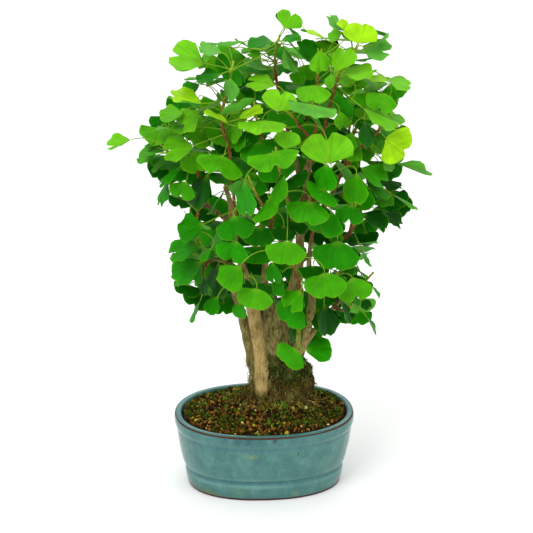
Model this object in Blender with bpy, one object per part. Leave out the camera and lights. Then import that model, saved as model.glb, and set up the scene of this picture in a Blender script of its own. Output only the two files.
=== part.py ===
"""Ginkgo bonsai in a glazed oval pot, in metres, +Z up.

The origin is the middle of the pot's flat underside. +X is the right of the tree as seen from its
front, and the front faces -Y. Lengths below are in millimetres and are scaled once, when a mesh is made.
Leaves and limbs are placed by where they show from the front, at a stated depth behind or before
the middle of the pot, and the rest of the leaves follow a growth rule with a fixed seed.
"""

import math
from typing import NamedTuple

import bmesh
import bpy
import numpy as np
from mathutils.bvhtree import BVHTree

for item in list(bpy.data.objects):
    bpy.data.objects.remove(item, do_unlink=True)

MM = 0.001
GAP = 0.3
SEAM = 0.0002

# Pot
POT_HALF_LENGTH = 110.0
POT_HALF_WIDTH = 80.0
POT_HEIGHT = 93.0
POT_YAW = math.radians(4.0)
POT_SQUARENESS = 2.25
POT_SIDES = 32
POT_FLOOR = 8.0
DRAIN_RADIUS = 7.0
DRAIN_OFFSET = 42.0
DRAIN_SIDES = 14
# Each row is how far the wall stands in from the rim, and its height, from the foot up and over.
POT_OUTER = (
    (16.8, 0.0), (15.2, 3.0), (13.0, 10.0), (12.4, 21.0), (13.6, 23.5), (13.6, 26.0),
    (10.4, 28.5), (7.0, 43.0), (4.2, 60.0), (2.7, 76.5), (0.4, 79.5), (0.0, 85.0), (0.8, 91.0),
    (3.2, POT_HEIGHT),
)
POT_INNER = ((7.6, POT_HEIGHT), (9.6, 90.0), (13.0, 55.0), (18.0, 22.0), (26.0, 9.5), (31.0, POT_FLOOR))

# Drainage mesh plates inside, over the holes
PLATE_SIDE = 26.0
PLATE_THICK = 1.2

# Soil
SOIL_EDGE = 88.0
MOUND_RISE = 20.0
MOUND_REACH = (60.0, 46.0)
MOUND_POWER = 1.4
TRUNK_AT = (14.0, 14.0)
PLUG_HALF = (33.0, 25.0)
PLUG_FLOOR = 64.0

# Front view: where the eye stands, for turning a place in the view into a place in space
EYE_DISTANCE = 2600.0
EYE_RISE = math.radians(22.0)
EYE_AIM = np.array([3.0, 0.0, 282.0])
VIEW_MIDDLE = 266.5
VIEW_SCALE = 2170.0
VIEW_SIZE = 533

# Leaves
SEED = 1866
BLADE_HALF_THICK = 0.55
STALK_RADIUS = 0.85
CLEARANCE = 0.45
STALK_REACH = 78.0
GOLDEN = math.radians(137.508)
CROWN_AXIS = np.array([24.0, 4.0])
CROWN_DEPTH = (-62.0, 132.0)
TWIG_SIDES = 4
STUMP_SIDES = 12
TRIES = 26
MOST_SOLIDS = 2000
SEEN_SHIFTS = (0, -4, 4, -8, 8, -13, 13, -19, 19, -26, 26)
COVER_SHIFTS = (0, 14, -12, 30)
COVER_STEP = 9

RIGHT = np.array([1.0, 0.0, 0.0])
UP = np.array([0.0, math.sin(EYE_RISE), math.cos(EYE_RISE)])
TO_EYE = np.array([0.0, -math.cos(EYE_RISE), math.sin(EYE_RISE)])
EYE = EYE_AIM + EYE_DISTANCE * TO_EYE


class Limb(NamedTuple):
    """A bark-covered stem: knots are (view x, view y, depth, radius)."""

    name: str
    knots: tuple
    sides: int = 5


class Shoot(NamedTuple):
    """A leafy twig on the limb of that name, leaving it at a knot: later knots as in Limb."""

    name: str
    limb: str
    knot: int
    knots: tuple
    fills: int


class Seen(NamedTuple):
    """A leaf that shows from the front: base and outer edge in the view, span, depth."""

    base: tuple
    edge: tuple
    span: float
    depth: float
    shows_back: bool = False


class Leaf(NamedTuple):
    """A leaf in space: blade frame, form, and the stalk's root and bend."""

    base: np.ndarray
    side: np.ndarray
    axis: np.ndarray
    face: np.ndarray
    length: float
    spread: float
    form: tuple
    root: np.ndarray
    bend: np.ndarray


LIMBS = (
    Limb("left_strip", (
        (262, 388, 14, 10.0), (255, 362, 13, 9.0), (249, 341, 12, 7.6), (243, 319, 10, 6.0),
        (236, 296, 6, 4.6), (231, 278, 0, 3.6), (228, 262, -8, 2.8))),
    Limb("smooth_stem", (
        (262, 399, -7, 7.6), (262, 374, -4, 8.2), (259, 346, -1, 7.8), (255, 320, 0, 8.6),
        (250, 296, 2, 6.6), (244, 272, 4, 5.0), (236, 246, 5, 4.2), (231, 224, 6, 3.8),
        (231, 206, 6, 3.2), (225, 186, 5, 2.6))),
    Limb("leader", (
        (282, 336, 16, 12.5), (287, 306, 16, 9.0), (294, 286, 13, 6.6), (299, 262, 10, 5.6),
        (300, 238, 8, 5.0), (300, 217, 6, 5.3), (301, 196, 4, 5.4), (305, 178, 2, 5.0),
        (310, 160, 0, 4.0), (314, 142, -2, 3.0))),
    Limb("middle_left", (
        (274, 332, 14, 10.5), (271, 311, 12, 8.0), (266, 292, 6, 5.2), (265, 268, 0, 4.0),
        (268, 244, -5, 3.4), (272, 218, -9, 2.8), (278, 193, -11, 2.6), (275, 171, -11, 2.4),
        (268, 153, -11, 2.2))),
    Limb("thick_right", (
        (288, 372, 12, 9.5), (300, 349, 3, 6.4), (307, 330, -3, 5.4), (311, 312, -6, 5.2),
        (312, 293, -9, 4.4), (309, 268, -13, 3.2), (310, 246, -17, 2.6))),
    Limb("thin_right", (
        (292, 362, 4, 5.0), (298, 340, -10, 3.4), (299, 317, -16, 2.8), (302, 294, -24, 2.3))),
    Limb("low_right", (
        (299, 352, 6, 5.0), (310, 337, 6, 3.6), (319, 324, 6, 3.0), (334, 307, 6, 2.6),
        (348, 292, 4, 2.3))),
    Limb("side_right", (
        (299, 261, 10, 4.4), (317, 251, 8, 3.2), (334, 243, 2, 2.8), (349, 234, -2, 2.6),
        (357, 219, -4, 2.4), (364, 203, -6, 2.2))),
    Limb("upper_right", (
        (301, 205, 5, 4.4), (318, 193, 4, 3.2), (333, 182, 2, 2.8), (344, 171, 0, 2.5),
        (352, 156, 0, 2.2))),
    Limb("upper_left", (
        (231, 222, 6, 3.6), (219, 214, 9, 2.9), (208, 205, 10, 2.6), (201, 190, 10, 2.4),
        (198, 172, 8, 2.2))),
    Limb("red_left", (
        (235, 243, 5, 3.8), (236, 228, -5, 2.8), (235, 210, -10, 2.4), (233, 188, -14, 2.2),
        (231, 166, -18, 2.0))),
    Limb("low_left", ((245, 276, 4, 4.6), (230, 264, -6, 3.0), (215, 259, -14, 2.3))),
    Limb("back_left", (
        (299, 264, 12, 4.6), (286, 246, 38, 3.6), (269, 224, 60, 2.9), (255, 202, 76, 2.4))),
    Limb("back_right", (
        (300, 234, 8, 4.6), (316, 216, 36, 3.5), (331, 196, 60, 2.9), (341, 174, 78, 2.4))),
    Limb("back_low", (
        (284, 318, 20, 7.0), (294, 298, 44, 3.8), (299, 278, 66, 3.0), (296, 260, 86, 2.4))),
    Limb("back_top", (
        (303, 188, 4, 4.4), (297, 166, 24, 3.2), (291, 142, 42, 2.7), (285, 120, 52, 2.3))),
    Limb("front_middle", (
        (300, 228, 8, 4.6), (297, 230, -22, 3.2), (293, 222, -44, 2.7), (289, 206, -58, 2.3))),
)

SHOOTS = (
    Shoot("shoot_top", "leader", 9, (
        (316, 120, -4, 1.9), (317, 93, -6, 1.6), (318, 68, -8, 1.3), (321, 52, -8, 1.0)), 5),
    Shoot("shoot_top_right", "leader", 8, (
        (322, 136, 10, 1.8), (331, 102, 10, 1.6), (338, 78, 6, 1.4), (347, 62, 2, 1.2),
        (355, 50, -2, 1.0)), 5),
    Shoot("shoot_top_left", "back_top", 3, (
        (279, 94, 46, 1.9), (275, 68, 36, 1.6), (276, 47, 28, 1.3), (279, 37, 24, 1.0)), 6),
    Shoot("shoot_top_front", "leader", 9, (
        (303, 130, -24, 1.8), (292, 116, -38, 1.6), (282, 108, -44, 1.3), (274, 106, -46, 1.0)), 3),
    Shoot("shoot_upper_right", "upper_right", 4, (
        (364, 144, -2, 1.9), (378, 131, -4, 1.6), (386, 112, -4, 1.3), (386, 97, -2, 1.0)), 5),
    Shoot("shoot_upper_right_back", "upper_right", 3, (
        (350, 144, 34, 1.9), (360, 118, 56, 1.6), (368, 97, 62, 1.2)), 7),
    Shoot("shoot_right", "side_right", 5, (
        (370, 186, -8, 1.9), (379, 174, -10, 1.6), (389, 167, -10, 1.2)), 4),
    Shoot("shoot_right_front", "side_right", 3, (
        (352, 226, -32, 1.9), (355, 208, -52, 1.6), (357, 192, -62, 1.2)), 4),
    Shoot("shoot_right_low", "side_right", 2, (
        (344, 250, -28, 1.9), (352, 254, -42, 1.6), (361, 252, -48, 1.2)), 4),
    Shoot("shoot_left", "upper_left", 4, (
        (190, 161, 6, 1.9), (179, 157, 2, 1.6), (168, 152, 0, 1.2)), 6),
    Shoot("shoot_left_tall", "red_left", 4, (
        (229, 148, -21, 1.8), (223, 128, -23, 1.6), (223, 106, -22, 1.4), (229, 84, -20, 1.2),
        (233, 64, -18, 1.0)), 6),
    Shoot("shoot_left_front", "upper_left", 2, (
        (200, 208, -22, 1.8), (196, 224, -36, 1.5), (196, 240, -42, 1.1)), 4),
    Shoot("shoot_left_middle", "low_left", 2, (
        (207, 263, -20, 1.8), (202, 276, -28, 1.5), (203, 290, -34, 1.1)), 4),
    Shoot("shoot_left_low", "smooth_stem", 5, (
        (238, 280, -30, 2.0), (231, 281, -52, 1.6), (232, 275, -66, 1.2)), 4),
    Shoot("shoot_middle_top", "middle_left", 8, (
        (262, 138, -16, 1.8), (257, 121, -20, 1.5), (254, 103, -18, 1.1)), 5),
    Shoot("shoot_middle_front", "middle_left", 5, (
        (263, 206, -38, 1.9), (255, 192, -56, 1.6), (249, 178, -66, 1.2)), 3),
    Shoot("shoot_left_face", "red_left", 2, (
        (240, 208, -40, 1.8), (240, 204, -56, 1.5), (238, 196, -62, 1.1)), 3),
    Shoot("shoot_centre", "front_middle", 3, (
        (284, 188, -68, 1.8), (279, 168, -74, 1.5), (276, 150, -76, 1.1)), 3),
    Shoot("shoot_centre_right", "leader", 6, (
        (316, 200, -30, 1.9), (324, 187, -52, 1.6), (328, 172, -64, 1.2)), 3),
    Shoot("shoot_centre_low", "thick_right", 6, (
        (313, 232, -34, 1.9), (320, 218, -48, 1.6), (325, 208, -54, 1.2)), 3),
    Shoot("shoot_low_front", "thin_right", 3, (
        (298, 278, -48, 1.9), (292, 262, -66, 1.6), (288, 248, -76, 1.2)), 3),
    Shoot("shoot_low_right", "low_right", 4, (
        (357, 284, -8, 1.9), (366, 280, -14, 1.6), (372, 274, -18, 1.2)), 6),
    Shoot("shoot_low_right_front", "thick_right", 4, (
        (325, 292, -36, 1.9), (333, 284, -54, 1.6), (337, 274, -62, 1.2)), 3),
    Shoot("shoot_low_middle", "thick_right", 3, (
        (305, 318, -34, 1.9), (301, 324, -52, 1.6), (299, 330, -62, 1.2)), 3),
    Shoot("shoot_low_side", "low_right", 3, (
        (342, 310, -26, 1.9), (349, 308, -38, 1.5), (354, 302, -44, 1.2)), 4),
    Shoot("shoot_back_left", "back_left", 3, (
        (245, 184, 88, 1.9), (238, 164, 94, 1.6), (236, 144, 94, 1.2)), 8),
    Shoot("shoot_back_left_low", "back_left", 2, (
        (254, 228, 84, 1.9), (240, 228, 98, 1.6), (226, 222, 104, 1.2)), 8),
    Shoot("shoot_back_right", "back_right", 3, (
        (346, 152, 90, 1.9), (349, 132, 94, 1.6), (350, 112, 92, 1.2)), 8),
    Shoot("shoot_back_right_low", "back_right", 2, (
        (344, 202, 84, 1.9), (356, 202, 98, 1.6), (366, 196, 104, 1.2)), 8),
    Shoot("shoot_back_low", "back_low", 3, (
        (292, 246, 102, 1.9), (288, 232, 112, 1.6), (286, 216, 116, 1.2)), 8),
    Shoot("shoot_back_low_right", "back_low", 1, (
        (312, 290, 66, 1.9), (324, 282, 84, 1.6), (334, 272, 94, 1.2)), 8),
    Shoot("shoot_back_low_left", "smooth_stem", 4, (
        (240, 286, 32, 2.0), (230, 274, 54, 1.6), (222, 262, 66, 1.2)), 8),
    Shoot("shoot_back_top", "back_top", 2, (
        (304, 124, 62, 1.9), (312, 104, 70, 1.6), (316, 84, 72, 1.2)), 8),
)

LEAVES = (
    # Top left of the crown
    Seen((204, 64), (170, 54), 37, -22),
    Seen((222, 53), (199, 46), 17, -20, True),
    Seen((252, 49), (234, 40), 3, -14, True),
    Seen((236, 66), (221, 78), 40, -2),
    Seen((222, 74), (196, 80), 16, -30),
    Seen((240, 79), (206, 83), 5, -10),
    Seen((240, 60), (219, 63), 9, -6),
    Seen((200, 84), (183, 96), 18, 2),
    Seen((203, 104), (169, 96), 18, -28),
    Seen((229, 125), (206, 107), 8, -32),
    Seen((238, 120), (262, 107), 14, -30),
    Seen((208, 106), (194, 114), 9, 2, True),
    Seen((199, 110), (179, 128), 28, -12),
    Seen((184, 112), (160, 118), 20, 2),
    Seen((172, 128), (154, 134), 5, 2, True),
    Seen((131, 140), (107, 147), 17, 0),
    Seen((194, 146), (163, 152), 30, -22),
    Seen((160, 153), (143, 152), 5, -8),
    Seen((155, 156), (137, 162), 10, 0),
    Seen((182, 166), (157, 182), 12, -12),
    Seen((168, 180), (157, 205), 12, -6),
    Seen((186, 181), (180, 199), 23, -24),
    Seen((209, 173), (190, 205), 25, -14),
    Seen((224, 156), (218, 172), 50, -62),
    Seen((231, 104), (232, 79), 15, -38, True),
    Seen((240, 111), (236, 101), 38, -48, True),
    Seen((228, 104), (217, 92), 12, -14, True),
    # Top of the crown
    Seen((285, 29), (293, 11), 24, 20),
    Seen((273, 42), (248, 38), 17, 26),
    Seen((268, 52), (280, 44), 10, 34),
    Seen((262, 60), (248, 53), 12, 20),
    Seen((268, 70), (243, 64), 14, 4, True),
    Seen((276, 86), (248, 78), 22, -12),
    Seen((284, 47), (297, 74), 14, 6, True),
    Seen((281, 41), (299, 33), 12, 14),
    Seen((313, 64), (300, 40), 22, -4),
    Seen((328, 41), (302, 27), 8, 4),
    Seen((343, 32), (328, 37), 14, 10),
    Seen((345, 31), (326, 17), 14, 4, True),
    Seen((346, 30), (340, 19), 12, -4),
    Seen((359, 44), (362, 22), 36, -14),
    Seen((373, 45), (390, 34), 4, 2, True),
    Seen((362, 46), (388, 57), 28, -8, True),
    Seen((342, 74), (373, 70), 22, -20),
    Seen((389, 82), (370, 73), 12, 2),
    Seen((387, 80), (411, 84), 18, 4),
    Seen((338, 72), (343, 46), 28, -26),
    Seen((318, 50), (325, 72), 24, -16),
    Seen((331, 73), (332, 88), 12, -22),
    Seen((313, 104), (309, 122), 50, -52, True),
    Seen((277, 112), (282, 89), 34, -60),
    Seen((262, 120), (262, 134), 49, -60),
    Seen((352, 100), (338, 112), 24, -12),
    Seen((362, 108), (396, 128), 20, -16),
    Seen((340, 111), (343, 130), 18, -26),
    Seen((364, 120), (371, 148), 18, -14),
    # Middle of the crown
    Seen((272, 152), (276, 170), 53, -90),
    Seen((286, 150), (288, 131), 22, -74),
    Seen((328, 165), (327, 132), 50, -86),
    Seen((327, 163), (320, 190), 24, -94),
    Seen((325, 190), (318, 200), 38, -84),
    Seen((268, 198), (281, 206), 57, -94),
    Seen((245, 180), (242, 216), 22, -74),
    Seen((233, 215), (238, 240), 34, -64),
    Seen((310, 201), (306, 223), 45, -92),
    Seen((330, 209), (318, 234), 40, -74),
    Seen((296, 219), (296, 235), 20, -46),
    Seen((336, 228), (334, 243), 16, -54),
    Seen((284, 225), (283, 241), 22, -52),
    Seen((287, 240), (285, 265), 40, -100),
    Seen((236, 240), (230, 262), 30, -66),
    Seen((227, 228), (209, 248), 14, -44),
    Seen((385, 138), (407, 152), 40, -24),
    Seen((352, 132), (346, 150), 18, -32),
    Seen((360, 168), (386, 184), 26, -26),
    Seen((361, 162), (374, 192), 9, -36),
    Seen((383, 162), (392, 171), 12, -16, True),
    Seen((395, 163), (431, 177), 4, -10),
    Seen((357, 173), (352, 204), 25, -78),
    Seen((352, 204), (348, 224), 24, -66),
    Seen((391, 194), (419, 207), 6, -10),
    Seen((381, 213), (402, 226), 16, -6),
    Seen((361, 213), (385, 231), 20, -20),
    Seen((338, 240), (335, 270), 44, -66),
    # Bottom of the crown
    Seen((361, 248), (371, 267), 5, -50),
    Seen((350, 264), (348, 277), 9, -54),
    Seen((325, 272), (326, 298), 43, -82),
    Seen((352, 277), (357, 301), 32, -66),
    Seen((362, 299), (369, 309), 12, -26),
    Seen((371, 285), (380, 298), 4, -18),
    Seen((341, 299), (350, 323), 8, -36),
    Seen((366, 316), (377, 334), 4, -26),
    Seen((324, 303), (327, 335), 25, -56),
    Seen((305, 351), (331, 345), 27, -74),
    Seen((297, 349), (286, 361), 36, -80),
    Seen((257, 288), (252, 309), 40, -88),
    Seen((240, 302), (238, 318), 16, -64),
    Seen((241, 265), (225, 288), 32, -80),
    Seen((246, 278), (244, 290), 14, -56),
    Seen((273, 262), (272, 283), 18, -66),
    Seen((281, 276), (279, 296), 14, -72),
    Seen((301, 290), (287, 309), 26, -88),
    Seen((300, 305), (285, 323), 32, -76),
    Seen((289, 325), (295, 341), 5, -64),
    Seen((202, 261), (174, 281), 30, -48),
    Seen((202, 262), (195, 282), 11, -40),
    Seen((204, 276), (202, 295), 12, -40),
    Seen((201, 300), (187, 320), 5, -42),
    Seen((218, 296), (209, 314), 18, -52),
    Seen((219, 262), (218, 298), 22, -30),
    Seen((212, 248), (198, 257), 10, -44),
    Seen((205, 224), (178, 233), 28, -48),
    Seen((199, 243), (169, 256), 24, -46),
)

# The crown's edge in the front view, and places where the background shows through it
CROWN_EDGE = (
    (293, 12), (312, 16), (350, 16), (384, 18), (390, 32), (390, 58), (398, 70), (411, 80), (408, 92),
    (402, 108), (408, 128), (415, 140), (408, 156), (404, 170), (404, 184), (416, 206), (402, 225),
    (388, 232), (374, 250), (370, 268), (378, 290), (376, 322), (364, 328), (346, 324), (334, 348),
    (300, 360), (284, 358), (278, 336), (262, 312), (240, 316), (210, 314), (190, 316), (186, 300),
    (172, 288), (168, 262), (172, 240), (180, 214), (160, 205), (155, 184), (142, 165), (120, 152),
    (128, 138), (146, 117), (160, 104), (170, 92), (182, 82), (174, 66), (170, 50), (198, 42),
    (232, 40), (248, 36), (272, 30), (281, 16),
)
OPENINGS = (
    (205, 92), (246, 97), (259, 139), (268, 175), (218, 190), (225, 197), (273, 61), (284, 77),
    (309, 71), (309, 258), (351, 178), (347, 230), (333, 188), (295, 342), (322, 328),
)


# The front view
def seen_at(x, y, depth):
    """Point in space that shows at (x, y) in the front view, on the upright plane at that depth."""
    ray = -TO_EYE + RIGHT * (x - VIEW_MIDDLE) / VIEW_SCALE + UP * (VIEW_MIDDLE - y) / VIEW_SCALE
    return EYE + ray * ((depth - EYE[1]) / ray[1])


def view_of(points):
    """Where points show in the front view, and how far each is from the eye."""
    away = np.atleast_2d(points) - EYE
    distance = -away @ TO_EYE
    x = VIEW_MIDDLE + VIEW_SCALE * (away @ RIGHT) / distance
    y = VIEW_MIDDLE - VIEW_SCALE * (away @ UP) / distance
    return x, y, distance


def unit(vector):
    return vector / np.linalg.norm(vector)


# Meshes and materials
def material(name, colour, roughness):
    made = bpy.data.materials.new(name)
    made.use_nodes = True
    shader = made.node_tree.nodes["Principled BSDF"]
    shader.inputs["Base Color"].default_value = (*colour, 1.0)
    shader.inputs["Roughness"].default_value = roughness
    shader.inputs["Metallic"].default_value = 0.0
    return made


def add_object(name, points, faces, finish=None, smooth=False):
    """Object from points in millimetres and faces as lists of point numbers."""
    mesh = bpy.data.meshes.new(name)
    mesh.from_pydata((np.asarray(points) * MM).tolist(), [], [list(map(int, face)) for face in faces])
    mesh.update()
    made = bpy.data.objects.new(name, mesh)
    bpy.context.scene.collection.objects.link(made)
    if finish:
        mesh.materials.append(finish)
    mesh.polygons.foreach_set("use_smooth", [smooth] * len(mesh.polygons))
    return made


def combine(target, tools, operation, solver):
    """Boolean of a target with a list of tool objects, applied, with the tools removed."""
    held = bpy.data.collections.new("tools")
    bpy.context.scene.collection.children.link(held)
    for tool in tools:
        bpy.context.scene.collection.objects.unlink(tool)
        held.objects.link(tool)
    change = target.modifiers.new(operation.lower(), "BOOLEAN")
    change.operation = operation
    change.solver = solver
    change.operand_type = "COLLECTION"
    change.collection = held
    graph = bpy.context.evaluated_depsgraph_get()
    made = bpy.data.meshes.new_from_object(target.evaluated_get(graph))
    target.modifiers.clear()
    target.data = made
    for tool in tools:
        bpy.data.objects.remove(tool, do_unlink=True)
    bpy.data.collections.remove(held)


def keep_outer_shell(target):
    """Fill sealed hollows and drop loose scrap: only the largest connected shell stays."""
    made = bmesh.new()
    made.from_mesh(target.data)
    bmesh.ops.remove_doubles(made, verts=made.verts, dist=SEAM * MM)
    made.verts.ensure_lookup_table()
    made.verts.index_update()
    left = set(range(len(made.verts)))
    shells = []
    while left:
        shell, front = set(), [left.pop()]
        while front:
            number = front.pop()
            shell.add(number)
            near = {edge.other_vert(made.verts[number]).index for edge in made.verts[number].link_edges}
            front += list(near & left)
            left -= near
        shells.append(shell)
    shells.sort(key=len)
    scrap = [made.verts[i] for shell in shells[:-1] for i in shell]
    bmesh.ops.delete(made, geom=scrap, context="VERTS")
    made.to_mesh(target.data)
    made.free()


def loft(rings, close_start=True, close_end=True):
    """Points and faces of a skin over rings that all have the same number of points."""
    count = len(rings[0])
    faces = []
    for level in range(len(rings) - 1):
        for i in range(count):
            j = (i + 1) % count
            low, high = level * count, (level + 1) * count
            faces.append((low + i, low + j, high + j, high + i))
    if close_start:
        faces.append(tuple(reversed(range(count))))
    if close_end:
        faces.append(tuple(range((len(rings) - 1) * count, len(rings) * count)))
    return np.concatenate(rings), faces


# Pot and soil
def oval(half_x, half_y, height, middle=(0.0, 0.0), sides=POT_SIDES, power=POT_SQUARENESS):
    """Ring of points on an oval that is a little squarer than an ellipse, turned with the pot."""
    turn = np.arange(sides) * 2 * math.pi / sides
    x = half_x * np.sign(np.cos(turn)) * np.abs(np.cos(turn)) ** (2 / power)
    y = half_y * np.sign(np.sin(turn)) * np.abs(np.sin(turn)) ** (2 / power)
    cos, sin = math.cos(POT_YAW), math.sin(POT_YAW)
    level = np.full(sides, height)
    return np.stack([middle[0] + x * cos - y * sin, middle[1] + x * sin + y * cos, level], 1)


def wall_ring(inset, height):
    return oval(POT_HALF_LENGTH - inset, POT_HALF_WIDTH - inset, height)


def across_pot(offset):
    return offset * math.cos(POT_YAW), offset * math.sin(POT_YAW)


def box(name, middle, side, low, high):
    x, y = middle
    half = side / 2
    corners = np.array([(x - half, y - half), (x + half, y - half), (x + half, y + half), (x - half,
        y + half)])
    rings = [np.column_stack([corners, np.full(4, z)]) for z in (low, high)]
    return add_object(name, *loft(rings))


def build_pot():
    glaze = material("glazed_stoneware", (0.11, 0.32, 0.31), 0.25)
    rings = [wall_ring(*row) for row in POT_OUTER + POT_INNER]
    pot = add_object("pot", *loft(rings), glaze, smooth=True)
    drills = []
    for offset in (-DRAIN_OFFSET, DRAIN_OFFSET):
        middle = across_pot(offset)
        rings = [oval(DRAIN_RADIUS, DRAIN_RADIUS, z, middle, DRAIN_SIDES, 2) for z in (-5.0, POT_FLOOR + 5)]
        drills.append(add_object("drill", *loft(rings)))
    combine(pot, drills, "DIFFERENCE", "EXACT")


def build_plates():
    plastic = material("mesh_plate_plastic", (0.05, 0.12, 0.06), 0.6)
    for name, offset in (("drain_mesh_left", -DRAIN_OFFSET), ("drain_mesh_right", DRAIN_OFFSET)):
        low = POT_FLOOR + GAP
        plate = box(name, across_pot(offset), PLATE_SIDE, low, low + PLATE_THICK)
        plate.data.materials.append(plastic)


def mound(x, y):
    """Height of the soil's surface."""
    reach = ((x - TRUNK_AT[0]) / MOUND_REACH[0]) ** 2 + ((y - TRUNK_AT[1]) / MOUND_REACH[1]) ** 2
    return SOIL_EDGE + MOUND_RISE * np.exp(-(reach**MOUND_POWER))


def soil_top_ring(share):
    """Ring on the soil's surface, from the trunk's hole (0) to the pot's wall (1)."""
    inner = oval(PLUG_HALF[0], PLUG_HALF[1], 0.0, TRUNK_AT, power=2)
    outer = oval(POT_HALF_LENGTH - 10.4, POT_HALF_WIDTH - 10.4, 0.0)
    ring = inner + (outer - inner) * share
    ring[:, 2] = mound(ring[:, 0], ring[:, 1])
    return ring


def build_soil():
    earth = material("akadama_soil", (0.14, 0.08, 0.03), 0.95)
    sides = [wall_ring(inset + 0.5, height) for inset, height in reversed(POT_INNER[2:])]
    sides[0][:, 2] += 0.45
    rings = sides + [soil_top_ring(share) for share in (1.0, 0.78, 0.5, 0.24, 0.0)]
    rings.append(oval(PLUG_HALF[0], PLUG_HALF[1], PLUG_FLOOR, TRUNK_AT, power=2))
    soil = add_object("soil", *loft(rings), earth, smooth=True)
    pockets = []
    for offset in (-DRAIN_OFFSET, DRAIN_OFFSET):
        top = POT_FLOOR + PLATE_THICK + 2 * GAP
        pockets.append(box("pocket", across_pot(offset), PLATE_SIDE + 2 * GAP, 0.0, top))
    combine(soil, pockets, "DIFFERENCE", "EXACT")


# Stems
def smooth_path(knots, steps=2):
    """Positions and radii along a curve through knots given as (view x, view y, depth, radius)."""
    rows = np.array([(*seen_at(*knot[:3]), knot[3]) for knot in knots])
    padded = np.concatenate([[2 * rows[0] - rows[1]], rows, [2 * rows[-1] - rows[-2]]])
    found = []
    for i in range(1, len(padded) - 2):
        a, b, c, d = padded[i - 1:i + 3]
        for t in np.arange(steps) / steps:
            curve = 2 * b + (c - a) * t + (2 * a - 5 * b + 4 * c - d) * t**2 + (3 * b - a - 3 * c + d) * t**3
            found.append(curve / 2)
    found.append(rows[-1])
    return np.array(found)


def carried_frames(points, start_side):
    """Tangent, side and face at each point of a path, with the side carried along without twist."""
    tangents = np.gradient(points, axis=0)
    tangents /= np.linalg.norm(tangents, axis=1)[:, None]
    frames = []
    side = start_side
    for tangent in tangents:
        side = unit(side - tangent * (side @ tangent))
        frames.append((tangent, side, np.cross(side, tangent)))
    return frames


def tube(path, sides):
    """Points and faces of a closed round stem along rows of position and radius."""
    points = path[:, :3]
    turn = np.arange(sides) * 2 * math.pi / sides
    start = np.array([0.0, 0.0, 1.0]) if abs(unit(points[1] - points[0])[2]) < 0.8 else RIGHT
    rings = []
    for (_, side, face), row in zip(carried_frames(points, start), path):
        rings.append(row[:3] + row[3] * (np.outer(np.cos(turn), side) - np.outer(np.sin(turn), face)))
    return loft(rings)


def cut_path(path, start):
    """The part of a path past a distance along it, starting with a row exactly there."""
    steps = np.linalg.norm(np.diff(path[:, :3], axis=0), axis=1)
    along = np.concatenate([[0.0], np.cumsum(steps)])
    first = np.array([np.interp(start, along, path[:, k]) for k in range(4)])
    return np.concatenate([[first], path[along > start + 1.5]])


def head_path(path, end):
    """The part of a path before a distance along it, ending with a row exactly there."""
    steps = np.linalg.norm(np.diff(path[:, :3], axis=0), axis=1)
    along = np.concatenate([[0.0], np.cumsum(steps)])
    last = np.array([np.interp(end, along, path[:, k]) for k in range(4)])
    return np.concatenate([path[along < end - 1.5], [last]])


class Twig(NamedTuple):
    """The two parts of a shoot's stem: the stub on the limb, and the leafy twig."""

    name: str
    stub: np.ndarray
    twig: np.ndarray
    fills: int


def twig_of(shoot):
    limb = next(limb for limb in LIMBS if limb.name == shoot.limb)
    foot = limb.knots[shoot.knot]
    at_end = shoot.knot == len(limb.knots) - 1
    start_radius = min(foot[3], shoot.knots[0][3] + 0.5)
    path = smooth_path(((*foot[:3], start_radius), *shoot.knots), 1)
    stub_length = foot[3] + 5.0
    stub = head_path(path, stub_length)
    if at_end:
        stub[0, 3] = foot[3] * 0.9
    twig = cut_path(path, stub_length + GAP)
    return Twig(shoot.name, stub, twig, shoot.fills)


def stump_rings():
    """Rings of the trunk's foot: height, shift sideways, and half sizes."""
    rows = (
        (PLUG_FLOOR + GAP, 0.0, PLUG_HALF[0] - GAP, PLUG_HALF[1] - GAP),
        (105.5, 0.0, PLUG_HALF[0] - GAP, PLUG_HALF[1] - GAP),
        (107.0, 3.5, 38.5, 27.0), (115.0, 4.0, 39.0, 25.0), (130.0, 4.5, 39.0, 22.0),
        (145.0, 4.5, 36.5, 19.5), (155.0, 3.0, 30.0, 18.0), (168.0, 0.0, 21.5, 17.5),
        (184.0, -1.5, 18.0, 15.0), (208.0, -2.5, 17.0, 13.5), (224.0, -3.5, 14.0, 11.0),
        (236.0, -3.0, 8.5, 7.0),
    )
    return [oval(a, b, z, (TRUNK_AT[0] + dx, TRUNK_AT[1]), STUMP_SIDES, 2) for z, dx, a, b in rows]


def build_trunk(twigs):
    bark = material("ginkgo_bark", (0.22, 0.17, 0.09), 0.85)
    trunk = add_object("trunk_and_limbs", *loft(stump_rings()), bark, smooth=True)
    pieces = [add_object(limb.name, *tube(smooth_path(limb.knots, 1), limb.sides)) for limb in LIMBS]
    pieces += [add_object("stub", *tube(twig.stub, TWIG_SIDES)) for twig in twigs]
    combine(trunk, pieces, "UNION", "MANIFOLD")
    keep_outer_shell(trunk)
    trunk.data.materials.clear()
    trunk.data.materials.append(bark)


# Leaf form

def leaf_form(random):
    """How this leaf's blade is notched and bent, as shares of its length."""
    notch = random.choice([0.03, 0.07, 0.13, 0.26])
    cup = random.uniform(-0.08, 0.2)
    fold = random.uniform(-0.05, 0.16)
    curl = random.uniform(-0.22, 0.04)
    ripple = random.uniform(0.02, 0.06)
    return float(notch), cup, fold, curl, ripple, random.uniform(0, 2 * math.pi)


def blade_height(share, reach, form):
    """Rise of the blade from flat at an angle share (-1 to 1) and a radius share (0 to 1)."""
    _, cup, fold, curl, ripple, phase = form
    bowl = cup * share**2 * reach**2 + fold * np.abs(share) * reach + curl * reach**2
    return bowl + ripple * reach**3 * np.sin(3.2 * math.pi * share + phase)


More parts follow.
